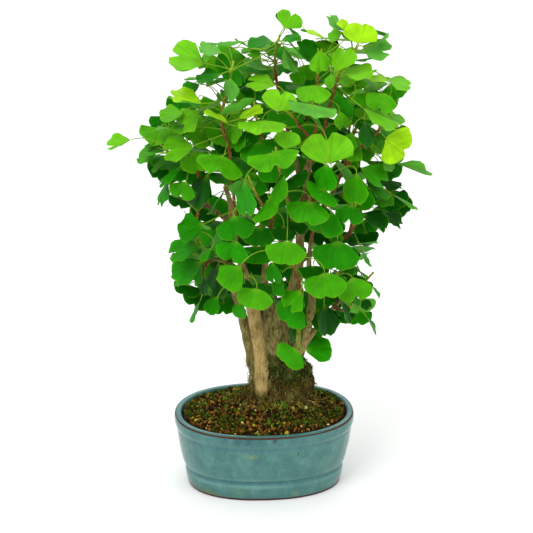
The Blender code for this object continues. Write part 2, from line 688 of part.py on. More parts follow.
def edge_reach(share, form):
    """Radius of the outer edge at an angle share, as a share of the blade's length."""
    lobes = 1.0 + 0.05 * np.abs(np.sin(math.pi * share)) - 0.17 * np.abs(share) ** 5
    return lobes - form[0] * np.exp(-((share / 0.09) ** 2))


EDGE_SHARES = np.array([-1.0, -0.66, -0.22, 0.0, 0.22, 0.66, 1.0])


def blade_points(leaf, shares, reaches):
    """Points of the blade's middle surface at angle shares and radius shares."""
    angle = shares * leaf.spread
    radius = reaches * leaf.length
    rise = leaf.length * blade_height(shares, reaches, leaf.form)
    flat = np.outer(radius * np.sin(angle), leaf.side) + np.outer(radius * np.cos(angle), leaf.axis)
    return leaf.base + flat + np.outer(rise, leaf.face)


def stalk_line(leaf):
    """Points of the stalk, from inside the twig to the blade: a bent stalk has one in between."""
    if leaf.bend is None:
        return np.array([leaf.root, leaf.base])
    return np.array([leaf.root, 0.25 * leaf.root + 0.5 * leaf.bend + 0.25 * leaf.base, leaf.base])


def stalk_rings(leaf, radius):
    """Three-sided rings along the stalk, the last in the blade's own frame."""
    line = stalk_line(leaf)
    frames = carried_frames(line[::-1], leaf.side)[::-1]
    rings = []
    for point, (_, side, back) in zip(line[:-1], frames[:-1]):
        low = point + back * radius * 0.5
        rings.append([low - radius * side, low + radius * side, point - back * radius])
    rings.append([leaf.base - radius * leaf.side, leaf.base + radius * leaf.side,
        leaf.base + radius * leaf.face])
    return np.array(rings).reshape(-1, 3)


def leaf_mesh(leaf, grow=0.0):
    """Closed solid of a leaf: both faces of the blade share an outline, and the stalk has three sides."""
    edge = blade_points(leaf, EDGE_SHARES, edge_reach(EDGE_SHARES, leaf.form) + grow / leaf.length)
    heart = blade_points(leaf, np.array([0.0]), np.array([0.52]))[0]
    lift = (BLADE_HALF_THICK + grow) * leaf.face
    stalk = stalk_rings(leaf, STALK_RADIUS + grow)
    points = np.array([*stalk, *edge, heart + lift, heart - lift])
    return points, stalk_faces(len(stalk)) + blade_faces(len(stalk), len(edge))


def stalk_faces(count):
    """Faces of a three-sided stalk of that many points, open where the blade joins it."""
    faces = [(1, 2, 0)]
    for low in range(0, count - 3, 3):
        for i in range(3):
            j = (i + 1) % 3
            faces.append((low + 3 + j, low + j, low + i))
            faces.append((low + 3 + i, low + 3 + j, low + i))
    return faces


def blade_faces(stalk_count, edge_count):
    """Faces of the blade's upper and lower fans, around the stalk's last three points."""
    left, right, ridge = range(stalk_count - 3, stalk_count)
    top = stalk_count + edge_count
    rim = [left, *range(stalk_count, top), right]
    faces = []
    for a, b in zip(rim[:-1], rim[1:]):
        faces.append((b, a, top))
        faces.append((a, b, top + 1))
    return faces + [(ridge, right, top), (left, ridge, top), (right, left, top + 1)]


# Placing leaves
class Solid:
    """A placed shape that others must keep clear of."""

    def __init__(self, points, faces):
        self.tree = BVHTree.FromPolygons(points.tolist(), [list(map(int, face)) for face in faces])
        low, high = points.min(0), points.max(0)
        self.middle = (low + high) / 2
        self.radius = np.linalg.norm(high - low) / 2


def in_edge(x, y, polygon):
    """Which points lie inside a polygon in the view."""
    inside = np.zeros(len(x), bool)
    for (ax, ay), (bx, by) in zip(polygon, polygon[1:] + polygon[:1]):
        crosses = (ay > y) != (by > y)
        at = ax + (y - ay) * (bx - ax) / (by - ay if by != ay else 1e-9)
        inside ^= crosses & (x < at)
    return inside


def blade_solid(leaf, grow):
    points, faces = leaf_mesh(leaf, grow)
    start = len(points) - len(EDGE_SHARES) - 5
    return Solid(points[start:], blade_faces(3, len(EDGE_SHARES)))


def free_stalk(leaf):
    """The stalk without its root in the twig and without its last stretch at the blade."""
    line = stalk_line(leaf)
    start = line[0] + unit(line[1] - line[0]) * (4.0 + STALK_RADIUS)
    end = line[-1] - unit(line[-1] - line[-2]) * 2.0
    middle = start * 0.5 + end * 0.5 if leaf.bend is None else line[1]
    path = np.array([[*row, STALK_RADIUS + CLEARANCE] for row in (start, middle, end)])
    return Solid(*tube(path, 3))


class Crown:
    """All leaves placed so far, what they must not touch, and what they must not hide."""

    def __init__(self, limb_meshes, twigs):
        self.twigs = twigs
        self.trees = []
        self.middles = np.zeros((MOST_SOLIDS, 3))
        self.radii = np.zeros(MOST_SOLIDS)
        for mesh in limb_meshes:
            self.keep(Solid(*mesh))
        for twig in twigs:
            self.keep(Solid(*tube(grown(twig.twig), TWIG_SIDES)))
        self.leaves = [[] for _ in twigs]
        self.covered = np.zeros((VIEW_SIZE, VIEW_SIZE), bool)
        self.nearest = np.full((VIEW_SIZE, VIEW_SIZE), -np.inf)
        for x, y in OPENINGS:
            self.nearest[y - 3:y + 4, x - 3:x + 4] = np.inf

    def keep(self, solid):
        """Remember a shape that later ones must not touch."""
        self.middles[len(self.trees)] = solid.middle
        self.radii[len(self.trees)] = solid.radius
        self.trees.append(solid.tree)

    def touches(self, solid):
        """Whether a shape meets any kept one: only those whose spheres meet are looked at."""
        count = len(self.trees)
        apart = np.linalg.norm(self.middles[:count] - solid.middle, axis=1)
        near = np.nonzero(apart < self.radii[:count] + solid.radius)[0]
        return any(solid.tree.overlap(self.trees[i]) for i in near)

    def is_clear(self, leaf):
        """Whether the leaf touches nothing, apart from its stalk's root in its own twig."""
        blade = blade_solid(leaf, CLEARANCE)
        stalk = free_stalk(leaf)
        if blade.tree.overlap(stalk.tree):
            return False
        return not (self.touches(blade) or self.touches(stalk))

    def add(self, leaf, twig_number):
        points, faces = leaf_mesh(leaf)
        count = len(points) - len(EDGE_SHARES) - 2
        self.keep(blade_solid(leaf, 0.0))
        self.keep(Solid(points[:count], stalk_faces(count)))
        self.leaves[twig_number].append(leaf)
        rows, columns, inside, _ = self.footprint(leaf)
        self.covered[rows, columns] |= inside

    @staticmethod
    def footprint(leaf):
        """The part of the view a blade covers: rows, columns, which cells in them, and distance."""
        edge = blade_points(leaf, EDGE_SHARES, edge_reach(EDGE_SHARES, leaf.form))
        x, y, distance = view_of(np.concatenate([[leaf.base], edge]))
        columns = slice(max(0, int(x.min())), int(x.max()) + 2)
        rows = slice(max(0, int(y.min())), int(y.max()) + 2)
        grid_y, grid_x = np.mgrid[rows, columns]
        outline = tuple(zip(x, y))
        inside = in_edge(grid_x.ravel() + 0.5, grid_y.ravel() + 0.5, outline).reshape(grid_x.shape)
        return rows, columns, inside, distance.mean()

    def mark_seen(self, leaf):
        """Remember how near the eye this leaf is, over the part of the view that it covers."""
        rows, columns, inside, distance = self.footprint(leaf)
        held = self.nearest[rows, columns]
        fresh = inside & np.isneginf(held)
        older = inside & ~fresh
        held[fresh] = distance
        held[older] = np.minimum(held[older], distance)

    def hides_seen(self, leaf):
        """Whether a leaf would cover one that shows, an opening, or ground outside the crown's edge."""
        edge = edge_reach(EDGE_SHARES, leaf.form)
        shares = np.concatenate([EDGE_SHARES] * 3)
        reaches = np.concatenate([edge, 0.7 * edge, 0.4 * edge])
        x, y, distance = view_of(blade_points(leaf, shares, reaches))
        if not in_edge(x, y, CROWN_EDGE).all():
            return True
        columns, rows = x.astype(int), y.astype(int)
        return bool((distance < self.nearest[rows, columns]).any())


def grown(path):
    wider = path.copy()
    wider[:, 3] += CLEARANCE
    return wider


def seen_frame(seen):
    """Blade frame, length and spread of a leaf read from the front view."""
    base = seen_at(*seen.base, seen.depth)
    edge = seen_at(*seen.edge, seen.depth)
    flat = edge - base
    flat = flat - TO_EYE * (flat @ TO_EYE)
    shown_length = np.linalg.norm(flat)
    span = seen.span * EYE_DISTANCE / VIEW_SCALE
    ratio = span / shown_length
    pitch, roll = 0.0, 0.0
    if ratio > 1.9:
        spread = math.radians(78)
        pitch = math.acos(min(1.0, 1.85 / ratio))
    elif ratio < 1.2:
        spread = math.radians(60)
        roll = math.acos(max(0.05, ratio / 1.6))
    else:
        spread = math.radians(60 + 18 * (ratio - 1.2) / 0.7)
    if flat[2] > 0.3 * shown_length and not seen.shows_back:
        pitch = -pitch
    axis = unit(flat) * math.cos(pitch) + TO_EYE * math.sin(pitch)
    length = shown_length / math.cos(pitch)
    flat_side = unit(np.cross(unit(flat), TO_EYE))
    face = unit(np.cross(flat_side, axis))
    if seen.shows_back:
        flat_side, face = -flat_side, -face
    turn = roll if (flat_side[2] < 0) == (face[2] > 0) else -roll
    side = flat_side * math.cos(turn) + face * math.sin(turn)
    return base, side, axis, np.cross(side, axis), length, spread


def stalk_choices(base, axis, twigs):
    """Places on the twigs to root a stalk, nearest and best placed first."""
    found = []
    for number, twig in enumerate(twigs):
        path = twig.twig
        for i in range(len(path) - 1):
            for t in (0.3, 0.7):
                at = path[i, :3] * (1 - t) + path[i + 1, :3] * t
                if np.linalg.norm(at - path[0, :3]) < 6.0:
                    continue
                line = base - at
                far = np.linalg.norm(line)
                if far > STALK_REACH or far < 9.0:
                    continue
                cost = far + 38.0 * max(0.0, 0.45 - float(line @ axis) / far)
                found.append((cost, number, i, t))
    return sorted(found)


def rooted(frame, form, twig, i, t, lift):
    """A leaf whose stalk starts in the twig's segment i."""
    base, side, axis, face, length, spread = frame
    path = twig.twig
    root = path[i, :3] * (1 - t) + path[i + 1, :3] * t
    far = np.linalg.norm(base - root)
    bend = None if lift is None else base - axis * far * 0.42 + np.array([0.0, 0.0, lift * far])
    return Leaf(base, side, axis, face, length, spread, form, root, bend)


def place_seen(crown, random):
    """Place the leaves read from the front view, in their order."""
    for seen in LEAVES:
        place_one_seen(crown, seen, leaf_form(random))


def place_one_seen(crown, seen, form, shifts=SEEN_SHIFTS, hidden=False):
    """Root the leaf on the best twig, moving it in depth if something is in its way."""
    for shift in shifts:
        moved = seen._replace(depth=seen.depth + shift)
        frame = seen_frame(moved)
        for cost, number, i, t in stalk_choices(frame[0], frame[2], crown.twigs)[:14]:
            for lift in (0.1, -0.12, 0.3):
                leaf = rooted(frame, form, crown.twigs[number], i, t, lift)
                if (hidden and crown.hides_seen(leaf)) or not crown.is_clear(leaf):
                    continue
                crown.add(leaf, number)
                if not hidden:
                    crown.mark_seen(leaf)
                return True
    return False


def grown_leaf(twig, share, turn, random):
    """A leaf by the growth rule: at a share of the twig's length, at a turn about it."""
    path = twig.twig
    at = 1 + share * (len(path) - 2)
    i = min(int(at), len(path) - 2)
    t = at - i
    root = path[i, :3] * (1 - t) + path[i + 1, :3] * t
    outward = np.array([*(root[:2] - CROWN_AXIS), 0.0])
    spin = math.atan2(outward[1], outward[0]) + 0.62 * (((turn + math.pi) % (2 * math.pi)) - math.pi)
    spin += random.uniform(-0.4, 0.4)
    climb = random.uniform(-0.15, 0.9)
    reach = random.uniform(17.0, 40.0)
    level = np.array([math.cos(spin), math.sin(spin), 0.0])
    base = root + reach * (level * math.cos(climb) + np.array([0.0, 0.0, math.sin(climb)]))
    heading = spin + random.uniform(-0.5, 0.5)
    droop = random.uniform(-0.3, 1.15)
    level = np.array([math.cos(heading), math.sin(heading), 0.0])
    rise = np.array([0.0, 0.0, 1.0])
    axis = level * math.cos(droop) - rise * math.sin(droop)
    face = level * math.sin(droop) + rise * math.cos(droop)
    roll = random.uniform(-0.5, 0.5)
    side = np.cross(axis, face)
    side, face = side * math.cos(roll) + face * math.sin(roll), face * math.cos(roll) - side * math.sin(roll)
    frame = (base, side, axis, face, random.uniform(22.0, 33.0), math.radians(random.uniform(66, 82)))
    return rooted(frame, leaf_form(random), twig, i, t, None)


def place_grown(crown, random):
    """Fill each shoot by the growth rule, with leaves that hide nothing read from the front view."""
    for number, twig in enumerate(crown.twigs):
        for k in range(twig.fills):
            for attempt in range(TRIES):
                share = min(1.0, (k + random.uniform(0.2, 0.8)) / twig.fills)
                leaf = grown_leaf(twig, share, k * GOLDEN + attempt * 0.9, random)
                edge = blade_points(leaf, EDGE_SHARES, edge_reach(EDGE_SHARES, leaf.form))
                if edge[:, 1].min() < CROWN_DEPTH[0] or edge[:, 1].max() > CROWN_DEPTH[1]:
                    continue
                if crown.hides_seen(leaf) or not crown.is_clear(leaf):
                    continue
                crown.add(leaf, number)
                break


def place_cover(crown, random):
    """Close the gaps that are left in the front view, inside the crown's edge, from the top down."""
    for y in range(20, 340, COVER_STEP):
        for x in range(160, 400, COVER_STEP):
            centre = in_edge(np.array([x]), np.array([y]), CROWN_EDGE)[0]
            shown = crown.covered[y - 2:y + 3, x - 2:x + 3].any() or np.isposinf(crown.nearest[y, x])
            if centre and not shown:
                cover_gap(crown, x, y, random)


def cover_gap(crown, x, y, random):
    """One leaf over a gap in the view, hanging outwards from the crown's middle."""
    for _ in range(5):
        lean = (x - 285) * 0.06 + random.uniform(-7, 7)
        drop = random.uniform(11, 21)
        depth = random.uniform(-45, 75)
        span = random.uniform(30, 46)
        seen = Seen((x - lean * 0.5, y - drop * 0.5), (x + lean * 0.5, y + drop * 0.5), span, depth)
        if place_one_seen(crown, seen, leaf_form(random), COVER_SHIFTS, hidden=True):
            return


def build_shoots(crown):
    """One fused object for each leafy shoot."""
    for number, twig in enumerate(crown.twigs):
        green = material("leaf_" + twig.name, (0.06, 0.26, 0.01), 0.5)
        shoot = add_object(twig.name, *tube(twig.twig, TWIG_SIDES))
        leaves = [add_object("leaf", *leaf_mesh(leaf)) for leaf in crown.leaves[number]]
        if leaves:
            combine(shoot, leaves, "UNION", "MANIFOLD")
            keep_outer_shell(shoot)
        shoot.data.materials.clear()
        shoot.data.materials.append(green)


def main():
    build_pot()
    build_plates()
    build_soil()
    twigs = [twig_of(shoot) for shoot in SHOOTS]
    build_trunk(twigs)
    stems = [tube(grown(smooth_path(limb.knots, 1)), limb.sides) for limb in LIMBS]
    stems += [tube(grown(twig.stub), TWIG_SIDES) for twig in twigs]
    stems.append(loft(stump_rings()))
    crown = Crown(stems, twigs)
    random = np.random.default_rng(SEED)
    place_seen(crown, random)
    place_grown(crown, random)
    place_cover(crown, random)
    build_shoots(crown)


main()
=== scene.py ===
"""Looks of a ginkgo bonsai in a glazed oval pot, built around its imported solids.

Metres, +Z up, the front faces -Y. Lengths in the classes below are millimetres, and are scaled
once, when a mesh is made. Leaves and stems stand where the solids have them: the same places in
the front view, the same growth rule and the same seed.
"""

import logging
import math
from collections.abc import Iterator
from dataclasses import dataclass, field
from enum import Enum
from typing import NamedTuple

import bpy
import numpy as np
from mathutils.bvhtree import BVHTree
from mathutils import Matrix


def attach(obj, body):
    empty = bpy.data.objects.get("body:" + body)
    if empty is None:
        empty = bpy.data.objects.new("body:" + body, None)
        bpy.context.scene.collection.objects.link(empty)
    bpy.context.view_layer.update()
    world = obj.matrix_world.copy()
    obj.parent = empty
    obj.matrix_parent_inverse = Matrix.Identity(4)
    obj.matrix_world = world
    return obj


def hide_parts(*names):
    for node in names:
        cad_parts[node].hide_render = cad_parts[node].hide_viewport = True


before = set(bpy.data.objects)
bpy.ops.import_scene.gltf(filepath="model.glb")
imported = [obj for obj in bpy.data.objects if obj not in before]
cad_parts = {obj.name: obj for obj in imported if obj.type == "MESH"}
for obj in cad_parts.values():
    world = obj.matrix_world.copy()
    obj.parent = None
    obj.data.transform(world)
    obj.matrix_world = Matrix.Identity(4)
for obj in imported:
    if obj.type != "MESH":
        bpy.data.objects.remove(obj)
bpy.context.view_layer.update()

LOG = logging.getLogger("bonsai")
MM = 0.001
GAP = 0.3
Array = np.ndarray
Colour = tuple[float, float, float, float]
Mesh = tuple[Array, list]


# Small helpers
def linear(code: str) -> Colour:
    """Turn an sRGB hex colour into linear light.

    Args:
        code: Six hex digits.

    Returns:
        Red, green and blue in linear light, and an alpha of one.
    """
    values = np.array([int(code[i:i + 2], 16) for i in (0, 2, 4)]) / 255
    light = np.where(values <= 0.04045, values / 12.92, ((values + 0.055) / 1.055) ** 2.4)
    return (*light.tolist(), 1.0)


def per_mm(size: float) -> float:
    """Texture scale at which one feature of a pattern measures that many millimetres."""
    return 1.0 / (size * MM)


def unit(vector: Array) -> Array:
    """The vector at length one."""
    return vector / np.linalg.norm(vector)


def unit_rows(rows: Array) -> Array:
    """Each row at length one."""
    return rows / np.linalg.norm(rows, axis=1)[:, None]


def smoothstep(low: float, high: float, values: Array) -> Array:
    """Rise from 0 at low to 1 at high: 3 t squared less 2 t cubed."""
    t = np.clip((values - low) / (high - low), 0.0, 1.0)
    return t * t * (3.0 - 2.0 * t)


def bell(values: Array, middle: float, reach: float) -> Array:
    """One at the middle, falling off to both sides: e to the power of less the squared share of reach."""
    return np.exp(-(((values - middle) / reach) ** 2))


def lattice_noise(points: Array, size: float | Array, seed: int = 0) -> Array:
    """Smooth noise from 0 to 1: hashed values at the corners of a lattice, blended by smoothstep.

    Args:
        points: Rows of places in millimetres.
        size: Spacing of the lattice, one number or one for each axis.
        seed: Picks another field of the same kind.

    Returns:
        One value for each row.
    """
    scaled = points / np.asarray(size, float) + 13.7 * seed
    cell = np.floor(scaled).astype(np.int64)
    t = scaled - cell
    t = t * t * (3.0 - 2.0 * t)
    total = np.zeros(len(points))
    for dx in (0, 1):
        for dy in (0, 1):
            for dz in (0, 1):
                corner = cell + (dx, dy, dz)
                key = corner @ np.array([73856093, 19349663, 83492791]) + seed * 2654435
                key = (key ^ (key >> 13)) * 1274126177
                value = ((key ^ (key >> 16)) & 0xFFFF) / 65535.0
                weight = np.abs(1 - dx - t[:, 0]) * np.abs(1 - dy - t[:, 1]) * np.abs(1 - dz - t[:, 2])
                total += value * weight
    return total


def add_object(name: str, data: bpy.types.ID) -> bpy.types.Object:
    """A new object that holds the data, linked to the scene."""
    made = bpy.data.objects.new(name, data)
    bpy.context.scene.collection.objects.link(made)
    return made


def add_mesh(name: str, points: Array, faces: Array | list, smooth: bool = True) -> bpy.types.Object:
    """Object from places in millimetres.

    Args:
        name: Name of the piece.
        points: Rows of x, y, z in millimetres.
        faces: Rows of point numbers.
        smooth: Whether faces are shaded round.

    Returns:
        The linked object, at the origin.
    """
    mesh = bpy.data.meshes.new(name)
    rows = faces.tolist() if isinstance(faces, np.ndarray) else [list(map(int, face)) for face in faces]
    mesh.from_pydata((np.asarray(points) * MM).tolist(), [], rows)
    mesh.update()
    mesh.polygons.foreach_set("use_smooth", np.full(len(mesh.polygons), smooth))
    return add_object(name, mesh)


def settle(piece: bpy.types.Object) -> None:
    """Make what a piece's modifiers give its own mesh."""
    graph = bpy.context.evaluated_depsgraph_get()
    made = bpy.data.meshes.new_from_object(piece.evaluated_get(graph))
    piece.modifiers.clear()
    piece.data = made


def surface_of(piece: bpy.types.Object) -> tuple[Array, Array]:
    """Read a mesh.

    Args:
        piece: The piece.

    Returns:
        Its points in millimetres, and its normals there.
    """
    points, normals = np.empty((2, len(piece.data.vertices) * 3))
    piece.data.vertices.foreach_get("co", points)
    piece.data.vertices.foreach_get("normal", normals)
    return points.reshape(-1, 3) / MM, normals.reshape(-1, 3)


def set_marks(piece: bpy.types.Object, name: str, marks: Array) -> None:
    """Write a colour attribute on the points of a piece.

    Args:
        piece: The piece to mark.
        name: Name of the attribute, which its material reads.
        marks: Four numbers from 0 to 1 for each point.
    """
    held = piece.data.attributes.new(name, "FLOAT_COLOR", "POINT")
    held.data.foreach_set("color", np.ascontiguousarray(marks, np.float32).ravel())


def hand_over(piece: bpy.types.Object, finish: "Finish", slot: str, *nodes: str) -> None:
    """Give a finished piece its material and its body, and hide the solids that it stands for.

    Args:
        piece: The finished piece.
        finish: What it is made of.
        slot: Not used.
        nodes: Names of the CAD nodes that it replaces.
    """
    piece.data.materials.clear()
    piece.data.materials.append(finish.material())
    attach(piece, "root")
    if nodes:
        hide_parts(*nodes)
    LOG.info("%s: %d faces", piece.name, len(piece.data.polygons))


def loft(rings: list[Array], close_start: bool = True, close_end: bool = True) -> Mesh:
    """Skin over rings that all have the same number of points.

    Args:
        rings: Rows of places, ring after ring.
        close_start: Whether the first ring is capped.
        close_end: Whether the last ring is capped.

    Returns:
        Places, and faces as lists of point numbers.
    """
    count = len(rings[0])
    i = np.arange(count)
    j = (i + 1) % count
    levels = (np.arange(len(rings) - 1) * count)[:, None]
    quads = np.stack([levels + i, levels + j, levels + count + j, levels + count + i], -1).reshape(-1, 4)
    faces = quads.tolist()
    if close_start:
        faces.append(list(range(count))[::-1])
    if close_end:
        faces.append(list(range((len(rings) - 1) * count, len(rings) * count)))
    return np.concatenate(rings), faces


def joined(meshes: list[Mesh]) -> Mesh:
    """Several meshes as one, their point numbers counted on."""
    starts = np.cumsum([0] + [len(points) for points, _ in meshes])
    faces = [[start + i for i in face] for start, (_, rows) in zip(starts.tolist(), meshes) for face in rows]
    return np.concatenate([points for points, _ in meshes]), faces


# Finishes
def feed(tree: bpy.types.NodeTree, socket: bpy.types.NodeSocket, value: object) -> None:
    """Set or link one input.

    Args:
        tree: The node tree.
        socket: The input.
        value: A number or a row of numbers, an sRGB hex colour, the socket that feeds the input, or
            the node whose first output does.
    """
    source = value.outputs[0] if isinstance(value, bpy.types.Node) else value
    if isinstance(source, bpy.types.NodeSocket):
        tree.links.new(source, socket)
    else:
        socket.default_value = linear(source) if isinstance(source, str) else source


def add_node(tree: bpy.types.NodeTree, kind: str, inputs: dict | None = None, stops: tuple = (),
             **settings: object) -> bpy.types.Node:
    """Add a shader node with its settings and links.

    Args:
        tree: The node tree.
        kind: Type of the node, without the words that all of them start with.
        inputs: What feeds each input, by name or number.
        stops: Place and colour of each stop of a colour ramp, as sRGB hex or as a linear grey.
        settings: Properties of the node.

    Returns:
        The new node.
    """
    node = tree.nodes.new("ShaderNode" + kind)
    for key, value in settings.items():
        setattr(node, key, value)
    for key, value in (inputs or {}).items():
        feed(tree, node.inputs[key], value)
    for _ in stops[2:]:
        node.color_ramp.elements.new(0.5)
    for number, (place, colour) in enumerate(stops):
        element = node.color_ramp.elements[number]
        element.position = place
        element.color = linear(colour) if isinstance(colour, str) else (colour, colour, colour, 1.0)
    return node


@dataclass(frozen=True)
class Finish:
    """What a surface is made of: its name and the numbers of its shader."""

    name: str
    roughness: float = 0.6
    ior: float = 1.5
    gloss: float = 0.5

    def material(self) -> bpy.types.Material:
        """The finish as a material, made once and then shared."""
        title = self.name + "_finish"
        made = bpy.data.materials.get(title)
        if made:
            return made
        made = bpy.data.materials.new(title)
        made.use_nodes = True
        shader = made.node_tree.nodes["Principled BSDF"]
        numbers = {"Roughness": self.roughness, "IOR": self.ior, "Specular IOR Level": self.gloss}
        for inputs in (numbers, self.dress(made.node_tree)):
            for key, value in inputs.items():
                feed(made.node_tree, shader.inputs[key], value)
        return made

    def dress(self, tree: bpy.types.NodeTree) -> dict:
        """What feeds the shader's inputs: each finish has its own pattern."""
        return {}


@dataclass(frozen=True)
class Stain:
    """A soft round mark on the glaze: middle and size in millimetres, colour and strength."""

    middle: tuple[float, float, float]
    reach: float
    colour: str
    strength: float

    def share(self, tree: bpy.types.NodeTree, place: bpy.types.NodeSocket) -> bpy.types.Node:
        """How much of the mark shows: it fades unevenly with the distance from its middle.

        Args:
            tree: The material's node tree.
            place: Object coordinates.

        Returns:
            The node that gives the share.
        """
        size = self.reach * MM
        middle = tuple(MM * value for value in self.middle)
        far = add_node(tree, "VectorMath", {0: place, 1: middle}, operation="DISTANCE").outputs["Value"]
        noise = add_node(tree, "TexNoise", {"Vector": place, "Scale": per_mm(self.reach * 0.6)})
        wobble = add_node(tree, "Math", {0: noise, 1: size * 1.2, 2: far}, operation="MULTIPLY_ADD")
        return add_node(tree, "MapRange", {
            "Value": wobble, "From Min": size * 1.7, "From Max": size * 0.7, "To Max": self.strength})


@dataclass(frozen=True)
class GlazedStoneware(Finish):
    """Stoneware dipped in a glossy blue-green glaze and fired.

    The eye sees a mottled, slightly rippled gloss, deeper where glaze pooled under the rim and in the groove,
    and bare brown clay where it ran thin over the rim's corner and was wiped off the foot. The deeper colour
    under the rim, in the groove, near the foot and inside the pot is partly painted shade, and the paler
    bands by the groove and on the inner rim's top are partly painted highlight.
    """

    # thick is the colour of pooled glaze and of painted shade; thin is that of thin glaze and of painted
    # highlight
    thick: str = "2a5f6c"
    body: str = "3b706a"
    thin: str = "6f9d97"
    clay: str = "3c2216"
    crystal: str = "9fc4bf"
    bare_roughness: float = 0.8
    mottle: float = 16.0
    speck: float = 1.6
    ripple: float = 7.0
    stains: tuple[Stain, ...] = (
        # Moss and damp earth that have crept up the foot
        Stain((-86.5, -35.5, 4.5), 6.5, "5a4a22", 0.85),
        Stain((-77.0, -46.5, 4.5), 6.5, "58601e", 0.95),
        Stain((-67.5, -53.0, 4.0), 6.5, "5a6e1c", 1.0),
        Stain((-58.0, -58.0, 3.0), 6.0, "5e6a20", 1.0),
        Stain((-50.0, -61.0, 2.5), 4.0, "6a6224", 0.9),
        # A rusty smear and a dark chip on the front
        Stain((-20.0, -76.0, 66.0), 4.0, "7f8848", 0.4),
        Stain((-14.0, -76.5, 65.0), 4.5, "86904a", 0.45),
        Stain((-8.0, -77.0, 64.5), 3.5, "7f8848", 0.35),
        Stain((41.5, -70.0, 66.5), 2.2, "1d3a40", 0.95),
        # Dark glaze that gathered under the rim
        Stain((13.0, -79.0, 88.5), 4.0, "17343f", 0.95),
        Stain((-4.0, -81.0, 87.5), 8.0, "16525a", 0.7),
        Stain((-18.0, -81.0, 87.5), 9.0, "124c54", 0.85),
        Stain((-32.0, -79.5, 88.0), 9.0, "124c54", 0.85),
        Stain((-47.0, -76.5, 88.5), 8.0, "1a565c", 0.7),
        Stain((34.0, -77.0, 89.0), 7.0, "1a565c", 0.5),
        # Faint lime near the foot
        Stain((-30.0, -70.0, 10.0), 9.0, "708a4c", 0.3),
        Stain((40.0, -62.0, 8.0), 7.0, "7f8848", 0.35),
    )

    def dress(self, tree: bpy.types.NodeTree) -> dict:
        """Mottled glaze, pooled and bare by the marks, with stains, specks and ripples; the pooled mark is
        partly painted shade and the thin mark partly painted highlight.
        """
        place = add_node(tree, "TexCoord").outputs["Object"]
        tall = add_node(tree, "Mapping", {"Vector": place, "Scale": (1.0, 1.0, 0.75)})
        cloud = add_node(tree, "TexNoise", {
            "Vector": tall, "Scale": per_mm(self.mottle), "Detail": 5.0, "Roughness": 0.62})
        fine, waves = (add_node(tree, "TexNoise", {"Vector": place, "Scale": per_mm(size), "Detail": 3.0})
                       for size in (self.speck, self.ripple))
        marks = add_node(tree, "VertexColor", layer_name="glaze_marks")
        # Second mark: pooled glaze and painted shade; third mark: thin glaze and painted highlight
        worn, pooled_and_shaded, lit = add_node(tree, "SeparateColor", {"Color": marks}).outputs[:3]
        uneven = add_node(tree, "Math", {0: cloud, 1: 0.5}, operation="SUBTRACT")
        ragged = add_node(tree, "Math", {0: uneven, 1: 0.7, 2: worn}, operation="MULTIPLY_ADD")
        bare = add_node(tree, "MapRange", {"Value": ragged, "From Min": 0.38, "From Max": 0.62})
        specks = add_node(tree, "MapRange", {
            "Value": fine, "From Min": 0.62, "From Max": 0.75, "To Max": 0.4})
        # Painted shade and painted highlight laid on with the glaze colours
        coats = [(pooled_and_shaded, self.thick), (lit, self.thin)]
        coats += [(stain.share(tree, place), stain.colour) for stain in self.stains]
        coats += [(specks, self.crystal), (bare, self.clay)]
        colour = add_node(tree, "ValToRGB", {"Fac": cloud}, (
            (0.25, "2f6364"), (0.45, self.body), (0.58, "447971"), (0.8, "5c8c82")))
        for share, tint in coats:
            colour = add_node(tree, "MixRGB", {"Fac": share, "Color1": colour, "Color2": tint})
        rough = add_node(tree, "MapRange", {
            "Value": bare, "To Min": self.roughness, "To Max": self.bare_roughness})
        bump = add_node(tree, "Bump", {"Height": waves, "Strength": 0.25, "Distance": 0.0006})
        return {"Base Color": colour, "Roughness": rough, "Normal": bump}


@dataclass(frozen=True)
class AkadamaSoil(Finish):
    """Fired clay granules with humus and moss crumbs: dull, damp, each grain of its own colour."""

    pore: float = 1.2

    def dress(self, tree: bpy.types.NodeTree) -> dict:
        """Colour from the grain's mark, broken by fine dark pores, and a crumbly relief."""
        place = add_node(tree, "TexCoord").outputs["Object"]
        marks = add_node(tree, "VertexColor", layer_name="grain_colour")
        pores = add_node(tree, "TexNoise", {
            "Vector": place, "Scale": per_mm(self.pore), "Detail": 4.0, "Roughness": 0.7})
        shade = add_node(tree, "ValToRGB", {"Fac": pores}, ((0.3, 0.3), (0.5, 1.0), (0.68, 1.6)))
        colour = add_node(tree, "MixRGB", {
            "Fac": 1.0, "Color1": marks, "Color2": shade}, blend_type="MULTIPLY")
        bump = add_node(tree, "Bump", {"Height": pores, "Strength": 0.7, "Distance": 0.0008})
        return {"Base Color": colour, "Normal": bump}


